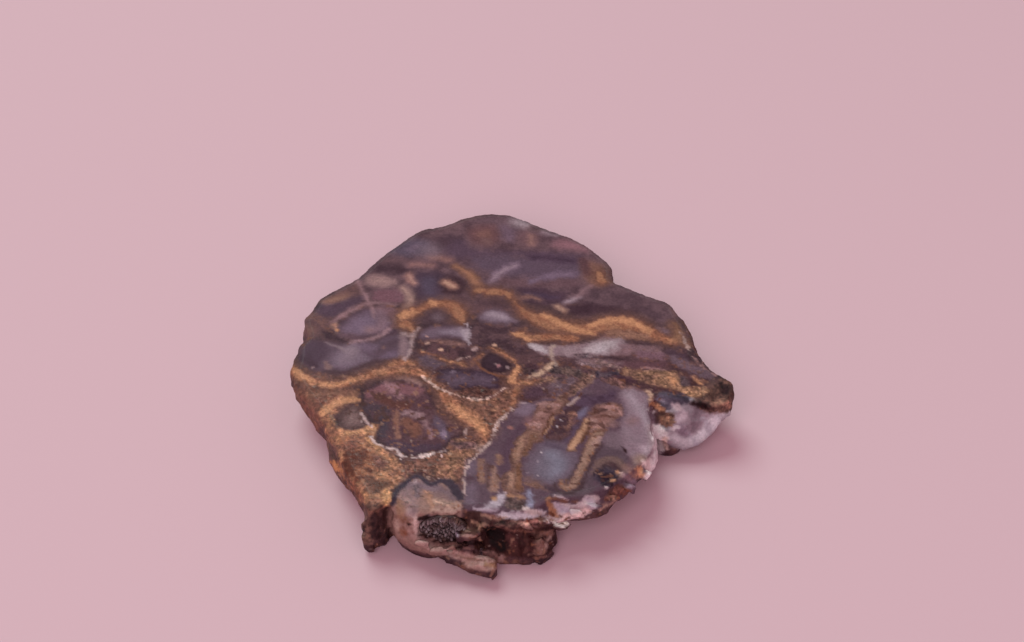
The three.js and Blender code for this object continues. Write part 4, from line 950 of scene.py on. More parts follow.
for tone, at_u, at_v, radius in [
        ((168, 135, 134), -6.8, 3.2, 0.6), ((186, 144, 126), -12.9, 3, 0.45),
        ((186, 144, 126), -2.9, 4.2, 0.5), ((166, 131, 120), -15.5, 4.6, 0.4),
        ((186, 141, 132), -15.6, 6.6, 0.25), ((164, 114, 118), -2.2, -1.3, 0.4),
        ((155, 126, 127), -0.6, -1.9, 0.4), ((146, 117, 118), -2.8, -0.9, 0.25),
        ((116, 95, 109), -10.6, -2.9, 0.5), ((146, 115, 116), -36.2, -1.8, 0.3),
        ((176, 125, 96), -32.6, 8.2, 0.4), ((147, 100, 98), -0.1, -17.2, 0.4),
        ((196, 176, 181), 5.4, -23, 0.2), ((186, 166, 173), 4.7, -25.2, 0.18),
        ((176, 153, 160), 2.9, -28, 0.14), ((184, 162, 170), 4.7, -28.8, 0.16),
        ((206, 186, 191), 8.1, -17, 0.2), ((214, 195, 200), 8.9, -15.3, 0.22),
        ((209, 172, 164), 19, -28.2, 0.3)]:
    fleck(tone, at_u, at_v, radius, soft=0.3, rag=0.05)

# The broken front, from the spur on the left to the footing. The nodule is lilac and tan
# with a blue-black rim, its skin runs down into the prong, and dark hollows lie behind.
# The hollows and the underside are painted darker still, as painted shade.
patch((150, 114, 106), [(-19.7, -35), (-18.8, -31), (-17.6, -29.2), (-16, -28.4), (-14.8, -29),
    (-13.5, -30.8), (-12.4, -29.4), (-11.2, -29), (-9.8, -29.9), (-8.8, -31.6), (-8.2, -33.8), (-8.2, -37),
    (-9.4, -38.4), (-10, -41), (-8, -47.4), (-13, -48.6), (-17.4, -46.6), (-20.4, -43), (-21, -38)],
    soft=0.7, second=(140, 105, 98), grains=0.25, front=True)
# Painted shade: a near-black band along the underside of the nodule and the prong, where they hang over the
# board.
vein((48, 31, 34), [(-21, -43.4, 0.8), (-19, -46.6, 1.4), (-15.8, -49.2, 1.8), (-12.4, -51.6, 2.2),
    (-8.4, -53.6, 2.4)], soft=0.8, rag=0.5, front=True)
vein((82, 58, 57), [(-21.2, -36.6, 1.2), (-21.4, -40, 1.6), (-21.4, -44, 1.4)], soft=1.4, front=True)
patch((104, 76, 72), [(-25.4, -38), (-24.4, -37), (-22.6, -37.8), (-21.6, -40), (-21.4, -43.6),
    (-22.6, -46), (-25, -47), (-26, -42)], soft=0.8, rag=0.7, second=(104, 77, 70), grains=0.8, front=True)
for tone, course in [
        ((96, 70, 65), [(-25, -39, 0.8), (-25, -42, 1), (-24.8, -45.6, 0.8)]),
        ((142, 108, 90), [(-22.8, -42.8, 0.35), (-23.6, -43.8, 0.6), (-24.2, -45, 0.5)]),
        ((48, 34, 35), [(-22.4, -39, 1), (-22, -42, 1.2), (-22, -44.4, 0.8)]),
        ((44, 32, 32), [(-24, -40.6, 0.6), (-24.4, -42.4, 0.6)]),
        ((84, 60, 55), [(-24.4, -36.2, 1.2), (-23, -35.9, 1.8), (-22, -35.7, 1.2)]),
        ((122, 92, 82), [(-24.4, -39.6, 0.3), (-23.6, -41.6, 0.4), (-23.8, -44, 0.3)]),
        ((62, 44, 44), [(-22.8, -38, 1.4), (-22.4, -41, 2), (-22.6, -44, 1.4)])]:
    vein(tone, course, soft=0.6, rag=0.6, front=True)
for tone, course in [
        ((160, 116, 98), [(-14, -33.4, 1), (-13.4, -35, 1.4), (-13, -36.4, 1)]),
        ((142, 104, 88), [(-18.6, -34.6, 1.4), (-18.4, -37.6, 1.4), (-18.6, -39.6, 1)]),
        ((176, 142, 132), [(-12.8, -36.6, 1), (-10.8, -36.8, 1.4), (-9.4, -37.2, 1)]),
        ((200, 168, 162), [(-17.2, -36.6, 0.9), (-16, -38.4, 1.3), (-15.4, -41.4, 1.2), (-15.2, -44, 1)]),
        ((196, 160, 156), [(-15, -44, 1), (-13, -46, 1.1), (-10, -47, 1)]),
        ((176, 142, 132), [(-19, -39.4, 0.9), (-18.6, -41.6, 1)]),
        ((122, 76, 60), [(-18.2, -41.6, 0.9), (-17.4, -43, 0.9)]),
        ((120, 82, 66), [(-17.6, -38.6, 0.6), (-17.4, -39.6, 0.6)]),
        ((156, 122, 114), [(-8.9, -35, 0.9), (-8.7, -38.2, 0.9)])]:
    vein(tone, course, soft=0.9, rag=0.6, front=True)
for tone, course in [
        ((118, 96, 106), [(-17.6, -30.8, 2), (-15.2, -31, 2.2), (-13, -31.6, 1.8)]),
        ((132, 104, 108), [(-17.8, -32.8, 2), (-16.8, -34.8, 2.2), (-16.6, -37, 1.6)]),
        ((104, 84, 93), [(-12.4, -31.6, 1.2), (-11, -32.4, 1.8), (-9.8, -33.8, 1.4)]),
        ((124, 96, 96), [(-12.6, -32.8, 1), (-11.2, -33.8, 1.2)])]:
    vein(tone, course, soft=2.2, rag=0.5, front=True)
for tone, course in [
        ((134, 104, 102), [(-18.8, -33.4, 0.9), (-17.6, -34, 1.3), (-17, -35.6, 0.8)]),
        ((150, 108, 90), [(-14.6, -32, 0.7), (-13.8, -33, 1.1), (-14, -34.4, 0.8)]),
        ((160, 128, 116), [(-12.6, -34.4, 0.9), (-11, -35.2, 1.4), (-9.4, -35.4, 1)]),
        ((106, 86, 92), [(-16.4, -31, 0.6), (-15.6, -32, 0.9), (-15.8, -33.4, 0.6)]),
        ((156, 132, 136), [(-17.4, -30.6, 0.5), (-16.4, -30, 0.7)])]:
    vein(tone, course, soft=0.8, rag=0.9, grains=0.7, front=True)
vein((58, 46, 58), [(-20, -35.4, 0.7), (-19.6, -33, 0.9), (-18.5, -30.9, 1), (-17.3, -29.5, 1.1),
    (-16, -28.8, 0.9), (-14.9, -29.5, 0.9), (-13.6, -31.1, 0.8), (-12.4, -29.9, 1), (-11.2, -29.7, 1.3),
    (-9.9, -31, 1.7), (-9.2, -32.4, 1.7), (-8.6, -33.6, 1.2)], soft=0.5, rag=0.2)
fleck((46, 28, 28), -17, -40.2, 0.3, front=True)
for at_u, at_v in [
        (-11.6, -36.4), (-10.6, -37.4), (-9.6, -36.2), (-12.8, -37.2), (-8.8, -37)]:
    fleck((92, 60, 50), at_u, at_v, 0.18, soft=0.3, front=True)

# The hollow of the nodule, with painted shade in its dark corners and in the cave below it,
# and the crumbling stone round it.
patch((78, 64, 68), [(-15.4, -38), (-13, -37.8), (-9.6, -38.2), (-9, -40), (-8.4, -42.6), (-9, -44),
    (-12, -43.8), (-15, -43)], soft=0.6, rag=0.6, second=(108, 94, 102), front=True)
# Painted shade along the top of the hollow, under its overhang, and in the holes there.
vein((44, 31, 31), [(-15.2, -38.6, 0.9), (-14.4, -38.4, 1.2), (-13.4, -38.6, 0.6)], soft=0.6, front=True)
vein((46, 34, 36), [(-12.6, -38.4, 0.8), (-10.6, -38.4, 1)], soft=0.6, rag=0.5, front=True)
vein((112, 80, 66), [(-15, -41, 0.7), (-14.2, -42, 0.9)], soft=0.7, front=True)
vein((168, 148, 162), [(-9.6, -42.2, 0.7), (-8.9, -43, 0.8)], soft=0.5, front=True)
# Painted shade at the foot of the hollow and in the dark cave below it.
vein((54, 35, 35), [(-15, -43.2, 0.8), (-12.4, -43.6, 1), (-9.2, -43.8, 0.7)], soft=0.6, front=True,
    rag=0.5)
vein((40, 24, 26), [(-12.4, -44.8, 0.8), (-10.8, -45, 1), (-9, -44.6, 0.8), (-7.4, -45.2, 1)], soft=0.5,
    front=True, rag=0.5)
vein((128, 90, 84), [(-10.2, -45.6, 0.5), (-8.6, -45.7, 0.5), (-6.8, -46.2, 0.5)], soft=0.5, front=True)
patch((42, 28, 30), [(-8, -36.9), (-5, -36.8), (-4.2, -38.6), (-4.6, -40.4), (-6, -39.6), (-8.2, -39.4)],
    front=True, second=(66, 46, 44), soft=0.6)
patch((104, 74, 64), [(-8.4, -39.6), (-6.2, -39.6), (-5, -40.6), (-5.2, -42.4), (-6.6, -43.4),
    (-8.6, -42.6)], soft=0.6, second=(78, 54, 50), front=True, grains=0.6)
for tone, course in [
        ((154, 116, 98), [(-6.4, -39.7, 0.6), (-5, -40.6, 0.9), (-4.9, -41.8, 0.7)]),
        ((166, 130, 122), [(-7.6, -43, 0.7), (-6, -43.2, 0.7)]),
        ((140, 108, 98), [(-8.2, -41, 0.5), (-7, -41.6, 0.5)])]:
    vein(tone, course, soft=0.5, rag=0.5, front=True)

# The skin below the hollow and the prong with its blunt end.
vein((176, 138, 132), [(-16.8, -42.2, 0.8), (-15.6, -44.3, 1), (-14, -45.5, 1.2), (-12, -46.3, 1.4),
    (-9.8, -47.2, 1.8), (-7.4, -48.6, 2.4), (-5, -49.6, 3.6), (-3, -49.6, 4)], soft=0.7,
    second=(150, 112, 106), front=True, rag=0.5)
for tone, course in [
        ((186, 148, 138), [(-4.8, -46.8, 0.8), (-3, -46.8, 1.4), (-2.3, -48, 0.8)]),
        # painted shade: a dark recess in the blunt end
        ((74, 47, 42), [(-5.4, -46.4, 0.8), (-4.2, -47.2, 0.6)]),
        ((116, 82, 74), [(-9, -48, 0.4), (-6.6, -48.9, 0.4), (-4, -49.4, 0.4)]),
        ((162, 128, 120), [(-6.6, -50.6, 1), (-4.4, -51.4, 1.2), (-3, -51.2, 1)]),
        ((150, 110, 90), [(-4, -50, 0.9), (-2.6, -50.6, 0.7)]),
        ((128, 92, 82), [(-2.6, -48.8, 0.4), (-2.4, -50.2, 0.4)])]:
    vein(tone, course, soft=0.6, rag=0.4, front=True)

# The footing: dark red-brown rock under the front edge, darker still on its left side as painted shade
# and lighter on its right side as painted light. A painted highlight runs down its left rock,
# and the recess between it and the prong is painted near black as shade.
patch((72, 45, 44), [(-4, -40.4), (0, -40.6), (4, -41), (8, -41), (9, -44), (6, -49), (0, -49.4), (-5, -47),
    (-6, -44)], soft=0.8, second=(50, 30, 31), front=True)
# Painted shade: the near-black recess between the footing and the prong.
vein((38, 25, 27), [(-4, -41.2, 1.4), (-2.4, -42.6, 3), (-2, -45, 3.4), (-1.4, -47, 2)], soft=1, front=True,
    strength=1)
for tone, course in [
        ((120, 80, 72), [(-0.8, -41.2, 0.6), (1.4, -42, 1.1), (4, -42.4, 0.9)]),
        ((128, 92, 84), [(4, -42.9, 0.8), (6.6, -43.2, 1.4)]),
        # painted highlight: a lit arc down the left rock
        ((96, 62, 58), [(2.4, -43.6, 0.7), (2.9, -45.6, 0.7), (2.4, -47.6, 0.6)]),
        ((132, 98, 90), [(4.6, -43.8, 1), (5.2, -45.6, 2.4), (4.6, -47.6, 1.8)]),
        ((112, 80, 72), [(4, -44.6, 0.4), (4.1, -47.6, 0.5)]),
        ((170, 138, 129), [(6.4, -44.2, 0.6), (5.9, -46.4, 0.7)]),
        ((84, 52, 51), [(-0.4, -43.4, 1), (0.6, -45.6, 1.4), (0.4, -47.4, 1)]),
        ((120, 90, 82), [(3.2, -48.3, 0.6), (4.4, -48.2, 0.5)])]:
    vein(tone, course, soft=0.6, rag=0.4, front=True)

# The chipped edge under the wide pool: brown and tan bits, with dark gaps between them that are painted
# shade.
patch((104, 73, 67), [(-5, -37.8), (-3, -38.6), (0, -39.2), (3, -39.2), (5.4, -39.2), (7, -40.4),
    (9, -41.6), (4, -41.4), (-0.4, -41), (-4.4, -40.4)], soft=0.7, rag=0.6, second=(72, 48, 47), grains=0.7,
    front=True)
for tone, course in [
        ((154, 117, 104), [(-4.6, -37.8, 0.8), (-2.8, -38.6, 1), (-2, -39.2, 0.8)]),
        ((46, 30, 32), [(-1.7, -39.4, 0.8), (-0.6, -39, 0.9)]),
        ((130, 93, 86), [(0, -39.4, 0.6), (1.6, -39.3, 0.6)]),
        ((192, 142, 130), [(1.8, -39.8, 0.9), (3.2, -39.8, 1.4), (4.6, -39.4, 1)]),
        ((94, 59, 51), [(4.8, -38.8, 0.8), (5.3, -39.4, 0.7)]),
        ((156, 114, 110), [(2.4, -40.8, 0.4), (4.2, -41, 0.4)]),
        ((222, 196, 194), [(5.6, -39.3, 0.5), (7.4, -40.1, 0.5), (8.8, -40.8, 0.5)]),
        ((124, 72, 58), [(18.4, -34, 1), (19.8, -32.4, 1)]),
        ((146, 120, 134), [(20.4, -31.4, 1.2), (21.4, -30, 1)]),
        ((150, 112, 103), [(20.6, -28, 1), (21.6, -29.6, 1)]),
        ((244, 216, 212), [(23.4, -25.8, 1.8), (24.6, -27.6, 2.4), (23.6, -29.6, 1.8)]),
        ((158, 122, 128), [(19.4, -28.4, 0.6), (20, -29.2, 0.9), (20.6, -30, 0.6)]),
        ((198, 142, 112), [(22.1, -27, 1.2), (22.4, -28.8, 1.4)])]:
    vein(tone, course, soft=0.8, rag=0.6, front=True)
# Pale stone, painted lighter still as painted light, where the wall below the edge faces down into shade.
vein((232, 198, 194), [(8.6, -39.8, 1.2), (10.8, -38.6, 1.6), (12.8, -37.2, 1.2)], soft=0.8, rag=0.5,
    front=True)
fleck((112, 54, 44), 2.8, -39.4, 0.3, front=True)
# Painted shade in a dark hole under the right end of the edge.
vein((56, 34, 33), [(21.8, -30.4, 0.7), (23.2, -30.6, 0.7)], soft=0.5, front=True)
fleck((78, 48, 46), 25.4, -25.6, 0.35, front=True)

# The right corner: blue-black quartz, rusty jasper and the clear lobe below them.
patch((158, 145, 153), [(26.6, -12), (31, -9), (36, -11), (42, -10), (40, -18), (34, -24), (27.4, -24),
    (26.4, -20)], soft=1, second=(152, 130, 139), grains=0.15, front=True)
for tone, course in [
        ((206, 196, 203), [(38.6, -13.6, 2.4), (36.4, -15.6, 2.8), (34.6, -18.6, 3), (31.8, -21.4, 2.6)]),
        ((120, 100, 109), [(33.4, -13.2, 1.8), (32.4, -15.6, 2.2), (32, -18.6, 1.8)]),
        ((126, 104, 117), [(29.8, -17.4, 1.8), (30.4, -19.4, 1.8)]),
        ((200, 186, 193), [(28.4, -20.2, 1.6), (30.4, -21.8, 2.2)])]:
    vein(tone, course, soft=2, rag=0.5, front=True)
for tone, course in [
        ((164, 152, 162), [(34.2, -15.4, 0.7), (34.8, -17.8, 0.9), (35.2, -20, 0.7)]),
        ((178, 164, 172), [(36.8, -13.2, 0.6), (37.6, -15.4, 0.8), (38, -17.4, 0.6)]),
        ((158, 146, 158), [(31.2, -18.8, 0.6), (32.2, -21.4, 0.8), (32.4, -23.4, 0.7)]),
        ((226, 214, 218), [(35.6, -15.6, 0.4), (36.6, -18, 0.5)]),
        ((224, 210, 215), [(32.8, -18.6, 0.4), (33.8, -21.4, 0.5)])]:
    vein(tone, course, soft=0.7, rag=0.7, strength=0.7, front=True)
patch((76, 66, 79), [(25.9, -9), (26.6, -8.2), (29, -8.2), (31, -8.8), (32.4, -10), (31.6, -11.4),
    (29.6, -11.6), (28, -13), (26.6, -12)], second=(88, 78, 92), rag=0.6, soft=0.8)
vein((56, 47, 58), [(29.4, -9.2, 0.8), (31.4, -10.2, 1.2)], soft=1)
vein((136, 124, 138), [(25.9, -10.2, 0.5), (27, -10.4, 0.9), (27.8, -11, 0.5)], soft=0.9)
for tone, course in [
        ((190, 166, 171), [(28.8, -11.6, 0.9), (29.6, -12, 1.5), (30.2, -13, 1)]),
        ((178, 154, 163), [(30.8, -13.2, 0.8), (30.4, -15, 1.5), (29.4, -16, 0.9)]),
        ((198, 176, 182), [(28.4, -17.9, 0.7), (29.2, -17.5, 0.9)]),
        ((184, 146, 128), [(24.6, -7.9, 0.8), (25.3, -9.6, 0.8), (24.9, -11.2, 0.7)]),
        ((170, 118, 90), [(25.4, -11.4, 0.9), (26.6, -12.8, 1.1)]),
        ((198, 180, 182), [(24.9, -12.6, 0.5), (25.5, -13.6, 0.5)])]:
    vein(tone, course, soft=0.7, rag=0.7)
patch((94, 64, 56), [(26, -13.8), (28.4, -13.4), (29.2, -15), (28.8, -17.2), (26.4, -17.4)], rag=0.8,
    second=(122, 88, 72), grains=0.9)
vein((62, 42, 40), [(27, -14.2, 0.6), (28.6, -14.4, 0.7)], soft=0.6, rag=0.6)
vein((232, 214, 216), [(25, -18.4, 0.8), (25.3, -21, 1), (25.3, -24, 1.2), (24.9, -27, 1.4),
    (23.8, -29.6, 1.6)], soft=0.8, rag=0.5, front=True)
for tone, course in [
        ((236, 222, 222), [(26.1, -17.4, 0.8), (26.7, -19, 1.3), (27.2, -20.4, 0.7)]),
        ((214, 182, 172), [(26.8, -20.6, 1), (26.8, -22.2, 1.2), (27, -23.6, 0.8)]),
        ((232, 214, 214), [(25.8, -21.2, 0.4), (26.3, -23.2, 0.5)])]:
    vein(tone, course, soft=0.5, rag=0.35, front=True)
patch((78, 56, 52), [(32.6, -10.4), (34.6, -9.4), (36, -8.2), (36.8, -6.4), (38, -4.6), (40, -3), (42, -8),
    (41, -13), (38, -14), (34, -13.4)], soft=1.2, second=(112, 80, 71), grains=0.7, rag=0.8)
vein((42, 28, 30), [(32.8, -11.4, 1.4), (34.4, -11.6, 2), (35.2, -12.4, 1.2)], soft=1.2, rag=0.5)
vein((156, 114, 98), [(36.8, -11.2, 1.2), (38.4, -10.8, 1.8), (39, -12, 1.4)], soft=1, rag=0.6)
vein((50, 34, 36), [(38, -6, 1.2), (38.8, -8, 1.6)], soft=1, rag=0.5)
vein((146, 109, 88), [(31.9, -8, 0.8), (32.9, -9.2, 1.2), (34.2, -8.7, 1), (35.4, -8, 0.7)], soft=0.8,
    rag=0.6, grains=0.8)

# Small stray flecks of tan and rust lie all through the jasper, and the granular stone is
# pitted where the polish has pulled grains out.
HAZE_TONE = np.array([120.0, 118.0, 130.0])
PIT_DEPTH = 0.12
SHEEN = 0.012
grain = grain * (1 - 0.5 * smooth(2, 18, v))
jasper = smooth(0.3, 0.38, grain) * smooth(0.6, 0.45, grain)
often = jasper * (0.75 - 0.65 * smooth(-10, 8, v))
for tone, size, seed, rare in [
        ((146, 108, 92), 1.1, 81, 0.36), ((78, 52, 48), 1.3, 85, 0.34),
        ((126, 82, 64), 0.8, 89, 0.40), ((168, 142, 134), 0.6, 93, 0.5)]:
    share = smooth(rare, rare + 0.14, cloud(place, size, seed)) * often
    paint += (np.array(tone, float) - paint) * share[:, None]

# Towards the back the dark stone is drawn paler and greyer, and the ochre is made a little brighter.
warmth = paint[:, 0] - paint[:, 2]
haze = 0.14 * smooth(45, 20, warmth) * smooth(-14, 6, v)
paint += haze[:, None] * (HAZE_TONE - paint)
paint *= 1 + 0.07 * smooth(45, 65, warmth)[:, None]

# Grains, pits and marbling shade it.
grainy = smooth(0.45, 0.85, grain)
coarse = 2 * mottle(place, 0.75, 97) - 1
crumb = 2 * mottle(place, 0.38, 99) - 1
calm = smooth(-18, -25, u)
crumbly = (0.13 + 0.27 * smooth(10, -8, v)) * (1 - 0.35 * calm)
pit = smooth(0.25, 0.6, cloud(place, 0.8, 61)) * grainy * polished
place[:, 2] -= PIT_DEPTH * pit
# The pits are also painted darker, as painted shade in them.
shade = 1 + 0.09 * marbled + grainy * (0.11 * coarse + crumbly * crumb) - 0.08 * pit
shade += (1 - grainy) * (0.05 - 0.03 * smooth(4, 20, v)) * ragged
paint *= shade[:, None]
paint += (grainy * (coarse + crumb))[:, None] * np.array([3.0, 0.5, -2.0])
paint = np.clip(paint, 8, 250)

# What the surface shines back of the room is taken off the stone's own colour.
tone = paint / 255
tone = np.where(tone > 0.04, ((tone + 0.055) / 1.055) ** 2.4, tone / 12.92)
tone = np.maximum(tone - SHEEN, 0.25 * tone)

slab_mesh = slab.data
place = np.clip(place, low, high)
slab_mesh.vertices.foreach_set("co", (place / MM).ravel())
attribute = slab_mesh.attributes.new("stone_colour", "FLOAT_COLOR", "POINT")
attribute.data.foreach_set("color", np.column_stack([tone, np.ones(count)]).ravel())
attribute = slab_mesh.attributes.new("grain", "FLOAT", "POINT")
attribute.data.foreach_set("value", grain)

# The polish stops just short of the broken edges.
ends = np.empty(2 * len(slab_mesh.edges), np.int64)
slab_mesh.edges.foreach_get("vertices", ends)
ends = ends.reshape(-1, 2)
for _ in range(2):
    weaker = polished[ends].min(axis=1)
    np.minimum.at(polished, ends[:, 0], weaker)
    np.minimum.at(polished, ends[:, 1], weaker)
attribute = slab_mesh.attributes.new("polish", "FLOAT", "POINT")
attribute.data.foreach_set("value", polished)
slab_mesh.polygons.foreach_set("use_smooth", [True] * len(slab_mesh.polygons))
slab_mesh.update()


def add_node(tree, kind, inputs=None, **settings):
    """A new node, set up and fed."""
    node = tree.nodes.new(kind)
    for name, value in settings.items():
        setattr(node, name, value)
    feed(tree, node, inputs or {})
    return node


def maths(tree, operation, *values):
    """What comes of numbers, or of what other nodes give."""
    return add_node(tree, "ShaderNodeMath", dict(enumerate(values)), operation=operation).outputs[0]


def ranged(tree, value, limits, clamp=True):
    """A value moved from one range to another."""
    mapped = add_node(tree, "ShaderNodeMapRange", {"Value": value, **limits}, clamp=clamp)
    return mapped.outputs["Result"]


def stored(tree, name):
    """What the mesh holds under a name."""
    return add_node(tree, "ShaderNodeAttribute", attribute_name=name).outputs


agate, tree, shader = new_material("polished_agate")
graininess = stored(tree, "grain")["Fac"]
polish = stored(tree, "polish")["Fac"]
where = add_node(tree, "ShaderNodeTexCoord").outputs["Object"]
fine = add_node(tree, "ShaderNodeTexNoise",
                {"Vector": where, "Scale": 2200, "Detail": 5, "Roughness": 0.65}).outputs["Fac"]
crumbs = add_node(tree, "ShaderNodeTexVoronoi", {"Vector": where, "Scale": 2600})
speck = add_node(tree, "ShaderNodeSeparateColor", {"Color": crumbs.outputs["Color"]})
crumb_tone = ranged(tree, speck.outputs["Red"], {"To Min": -0.28, "To Max": 0.42})
crumb_part = maths(tree, "MULTIPLY", crumb_tone, graininess)
fine_tone = ranged(tree, fine, {"From Min": 0.25, "From Max": 0.75, "To Min": 0.78, "To Max": 1.22},
                   clamp=False)
scaled = add_node(tree, "ShaderNodeVectorMath",
                  {0: stored(tree, "stone_colour")["Color"],
                   "Scale": maths(tree, "ADD", crumb_part, fine_tone)}, operation="SCALE")
rough = ranged(tree, polish, {"To Min": 0.62, "To Max": 0.17})
bump_size = ranged(tree, polish, {"To Min": 1.0, "To Max": 0.12})
height = maths(tree, "MULTIPLY", maths(tree, "SUBTRACT", fine, 0.5), bump_size)
bump = add_node(tree, "ShaderNodeBump", {"Strength": 0.8, "Distance": 0.00025, "Height": height})
feed(tree, shader, {"Base Color": scaled.outputs["Vector"],
                    "Roughness": maths(tree, "MULTIPLY_ADD", crumb_part, 0.16, rough),
                    "Specular IOR Level": 0.22, "Specular Tint": (1.0, 0.86, 0.88, 1),
                    "Normal": bump.outputs["Normal"]})
slab_mesh.materials.append(agate)

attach(slab, "root")
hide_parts("agate_slab")


# ---------------------------------------------------------------------------------------
# The druse: small six-sided quartz points that grew in the hollow of the nodule. They stand
# on a rough crust that lines its back wall, painted pale at their tips and dark between them,
# which is painted shade.
# ---------------------------------------------------------------------------------------
HOLLOW = np.array([-11.5, -38.2, 7.4])
HOLLOW_HALF = np.array([4.0, 2.8, 2.8])
CRUST_THICK = 0.5
CRUST_MESH = 0.00022
POINT_WIDTH = 0.00046
POINT_LENGTH = 0.00095
POINT_SPACING = 0.00036
POINTS_AT_MOST = 3e7
POINT_LEAN = 0.5
QUARTZ_TONES = [(0.35, (94, 73, 75)), (0.65, (130, 110, 113))]

druse_mesh = bpy.data.meshes.new("quartz_druse")
crust = bmesh.new()
bmesh.ops.create_icosphere(crust, subdivisions=5, radius=1)
bmesh.ops.delete(crust, geom=[v for v in crust.verts if v.co.y < 0.2], context="VERTS")
crust.to_mesh(druse_mesh)
crust.free()
unit = read_points(druse_mesh, "co")
place = HOLLOW + unit * HOLLOW_HALF
place = place - unit * (0.35 * cloud(place, 1.6, 131) + 0.15)[:, None]
druse_mesh.vertices.foreach_set("co", (place / MM).ravel())
druse = bpy.data.objects.new("quartz_druse", druse_mesh)
scene.collection.objects.link(druse)
wall = druse.modifiers.new("wall", "SOLIDIFY")
wall.thickness = CRUST_THICK / MM
wall.offset = 1
even_out(druse, CRUST_MESH)
druse_mesh = druse.data
place = read_points(druse_mesh, "co") * MM
normal = read_points(druse_mesh, "normal")
inward = ((HOLLOW - place) * normal).sum(axis=1) / np.linalg.norm(HOLLOW - place, axis=1)
place += normal * (0.12 * cloud(place, 0.7, 137))[:, None]
druse_mesh.vertices.foreach_set("co", (place / MM).ravel())
open_side = druse_mesh.attributes.new("open_side", "FLOAT", "POINT")
open_side.data.foreach_set("value", (inward > 0.1).astype(float))

quartz, tree, shader = new_material("druse_quartz")
where = add_node(tree, "ShaderNodeTexCoord").outputs["Object"]
stain = add_node(tree, "ShaderNodeTexNoise",
                 {"Vector": where, "Scale": 380, "Detail": 3}).outputs["Fac"]
# Each crystal is painted dark at its base and pale at its tip, as painted shade between the crystals, on a
# random tone of its own.
own_tone = maths(tree, "MULTIPLY", stored(tree, "tone")["Fac"], 0.5)
base_shade_and_tone = maths(tree, "MULTIPLY_ADD", stored(tree, "tip")["Fac"], 0.45, own_tone)
shades = add_node(tree, "ShaderNodeValToRGB", {"Fac": base_shade_and_tone})
shades.color_ramp.elements[0].color = (*linear(62, 46, 47), 1)
shades.color_ramp.elements[1].color = (*linear(176, 160, 166), 1)
for at, shade in QUARTZ_TONES:
    shades.color_ramp.elements.new(at).color = (*linear(*shade), 1)
stain_part = ranged(tree, stain, {"From Min": 0.5, "From Max": 0.72, "To Max": 0.7})
stained = add_node(tree, "ShaderNodeMix",
                   {"A": shades.outputs["Color"], "B": (*linear(104, 70, 56), 1),
                    "Factor": stain_part}, data_type="RGBA")
grit = add_node(tree, "ShaderNodeBump", {"Distance": 0.0001, "Height": stain})
feed(tree, shader, {"Base Color": stained.outputs["Result"], "Roughness": 0.5,
                    "Specular IOR Level": 0.2, "Normal": grit.outputs["Normal"]})

points = bpy.data.node_groups.new("quartz_points", "GeometryNodeTree")
points.interface.new_socket("Geometry", in_out="INPUT", socket_type="NodeSocketGeometry")
sizes = {}
for name, kind, value in [
        ("Width", "NodeSocketFloat", POINT_WIDTH), ("Length", "NodeSocketFloat", POINT_LENGTH),
        ("Spacing", "NodeSocketFloat", POINT_SPACING), ("Seed", "NodeSocketInt", 17)]:
    socket = points.interface.new_socket(name, in_out="INPUT", socket_type=kind)
    sizes[socket.identifier] = value
points.interface.new_socket("Geometry", in_out="OUTPUT", socket_type="NodeSocketGeometry")
given = add_node(points, "NodeGroupInput").outputs

# The spots that they grow from, all over the open side.
side = add_node(points, "GeometryNodeInputNamedAttribute", {"Name": "open_side"})
spread = add_node(points, "GeometryNodeDistributePointsOnFaces",
                  {"Mesh": given["Geometry"], "Selection": side.outputs["Attribute"],
                   "Distance Min": given["Spacing"], "Density Max": POINTS_AT_MOST,
                   "Seed": given["Seed"]}, distribute_method="POISSON")

# One crystal: a six-sided prism whose top ring is drawn in to a point.
crystal = add_node(points, "GeometryNodeMeshCylinder",
                   {"Vertices": 6, "Side Segments": 2, "Depth": given["Length"],
                    "Radius": maths(points, "MULTIPLY", given["Width"], 0.5)})
place_of = add_node(points, "GeometryNodeInputPosition")
split = add_node(points, "ShaderNodeSeparateXYZ", {"Vector": place_of.outputs["Position"]}).outputs
share = maths(points, "DIVIDE", split["Z"], given["Length"])
at_top = maths(points, "GREATER_THAN", share, 0.25)
narrowing = maths(points, "MULTIPLY_ADD", at_top, -0.9, 1)
in_middle = maths(points, "COMPARE", share, 0, 0.25)
raised = maths(points, "ADD", maths(points, "MULTIPLY_ADD", in_middle, 0.14, share), 0.3)
joined = add_node(points, "ShaderNodeCombineXYZ",
                  {"X": maths(points, "MULTIPLY", split["X"], narrowing),
                   "Y": maths(points, "MULTIPLY", split["Y"], narrowing),
                   "Z": maths(points, "MULTIPLY", raised, given["Length"])})
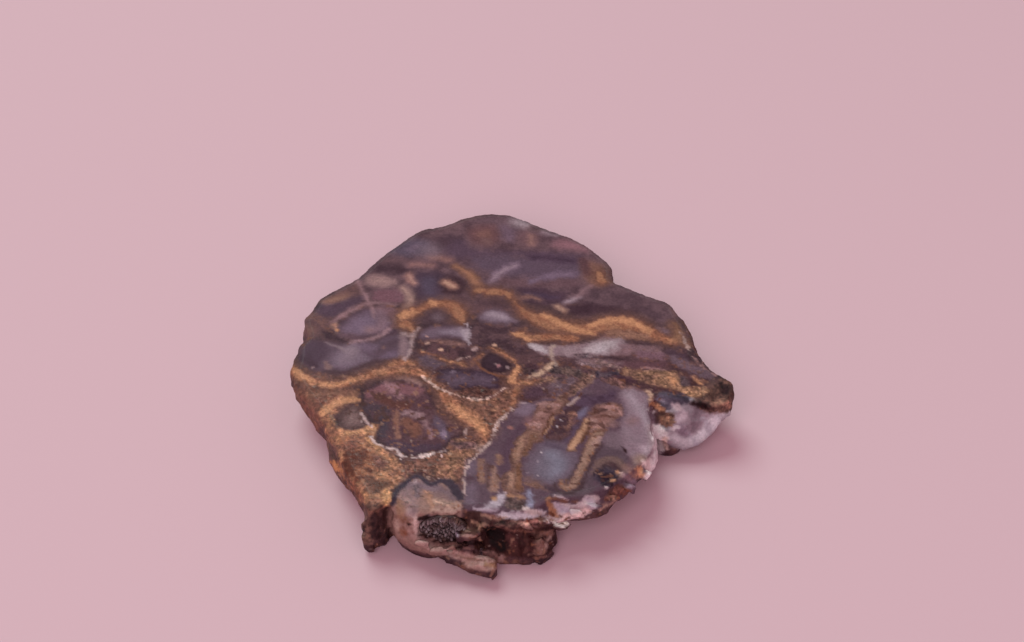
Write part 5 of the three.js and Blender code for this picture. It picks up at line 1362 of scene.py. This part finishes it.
tipped = add_node(points, "GeometryNodeStoreNamedAttribute",
                  {"Geometry": crystal.outputs["Mesh"], "Name": "tip",
                   "Value": maths(points, "ADD", share, 0.5)})
pointed = add_node(points, "GeometryNodeSetPosition",
                   {"Geometry": tipped.outputs["Geometry"], "Position": joined.outputs["Vector"]})

# It stands on every spot, leaning a little at random, with a size and a tone of its own.
tilt = add_node(points, "FunctionNodeRandomValue",
                {"Min": (-POINT_LEAN, -POINT_LEAN, 0), "Max": (POINT_LEAN, POINT_LEAN, 1),
                 "Seed": 3}, data_type="FLOAT_VECTOR")
lean = add_node(points, "FunctionNodeEulerToRotation", {"Euler": tilt.outputs[0]})
turned = add_node(points, "FunctionNodeRotateRotation",
                  {"Rotation": spread.outputs["Rotation"], "Rotate By": lean.outputs["Rotation"]},
                  rotation_space="LOCAL")
growth = add_node(points, "FunctionNodeRandomValue", {2: 0.55, 3: 1.35, "Seed": 5})
stand = add_node(points, "GeometryNodeInstanceOnPoints",
                 {"Points": spread.outputs["Points"], "Instance": pointed.outputs["Geometry"],
                  "Rotation": turned.outputs["Rotation"], "Scale": growth.outputs[1]})
shade_of = add_node(points, "FunctionNodeRandomValue", {"Seed": 9})
toned = add_node(points, "GeometryNodeStoreNamedAttribute",
                 {"Geometry": stand.outputs["Instances"], "Name": "tone",
                  "Value": shade_of.outputs[1]}, domain="INSTANCE")
both = add_node(points, "GeometryNodeJoinGeometry", {"Geometry": given["Geometry"]})
points.links.new(toned.outputs["Geometry"], both.inputs["Geometry"])
real = add_node(points, "GeometryNodeRealizeInstances", {"Geometry": both.outputs["Geometry"]})
coated = add_node(points, "GeometryNodeSetMaterial",
                  {"Geometry": real.outputs["Geometry"], "Material": quartz})
add_node(points, "NodeGroupOutput", {"Geometry": coated.outputs["Geometry"]})

grow = druse.modifiers.new("points", "NODES")
grow.node_group = points
for identifier, value in sizes.items():
    grow[identifier] = value
druse.data = finished_mesh(druse, "quartz_druse")
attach(druse, "root")
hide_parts("pocket_druse")
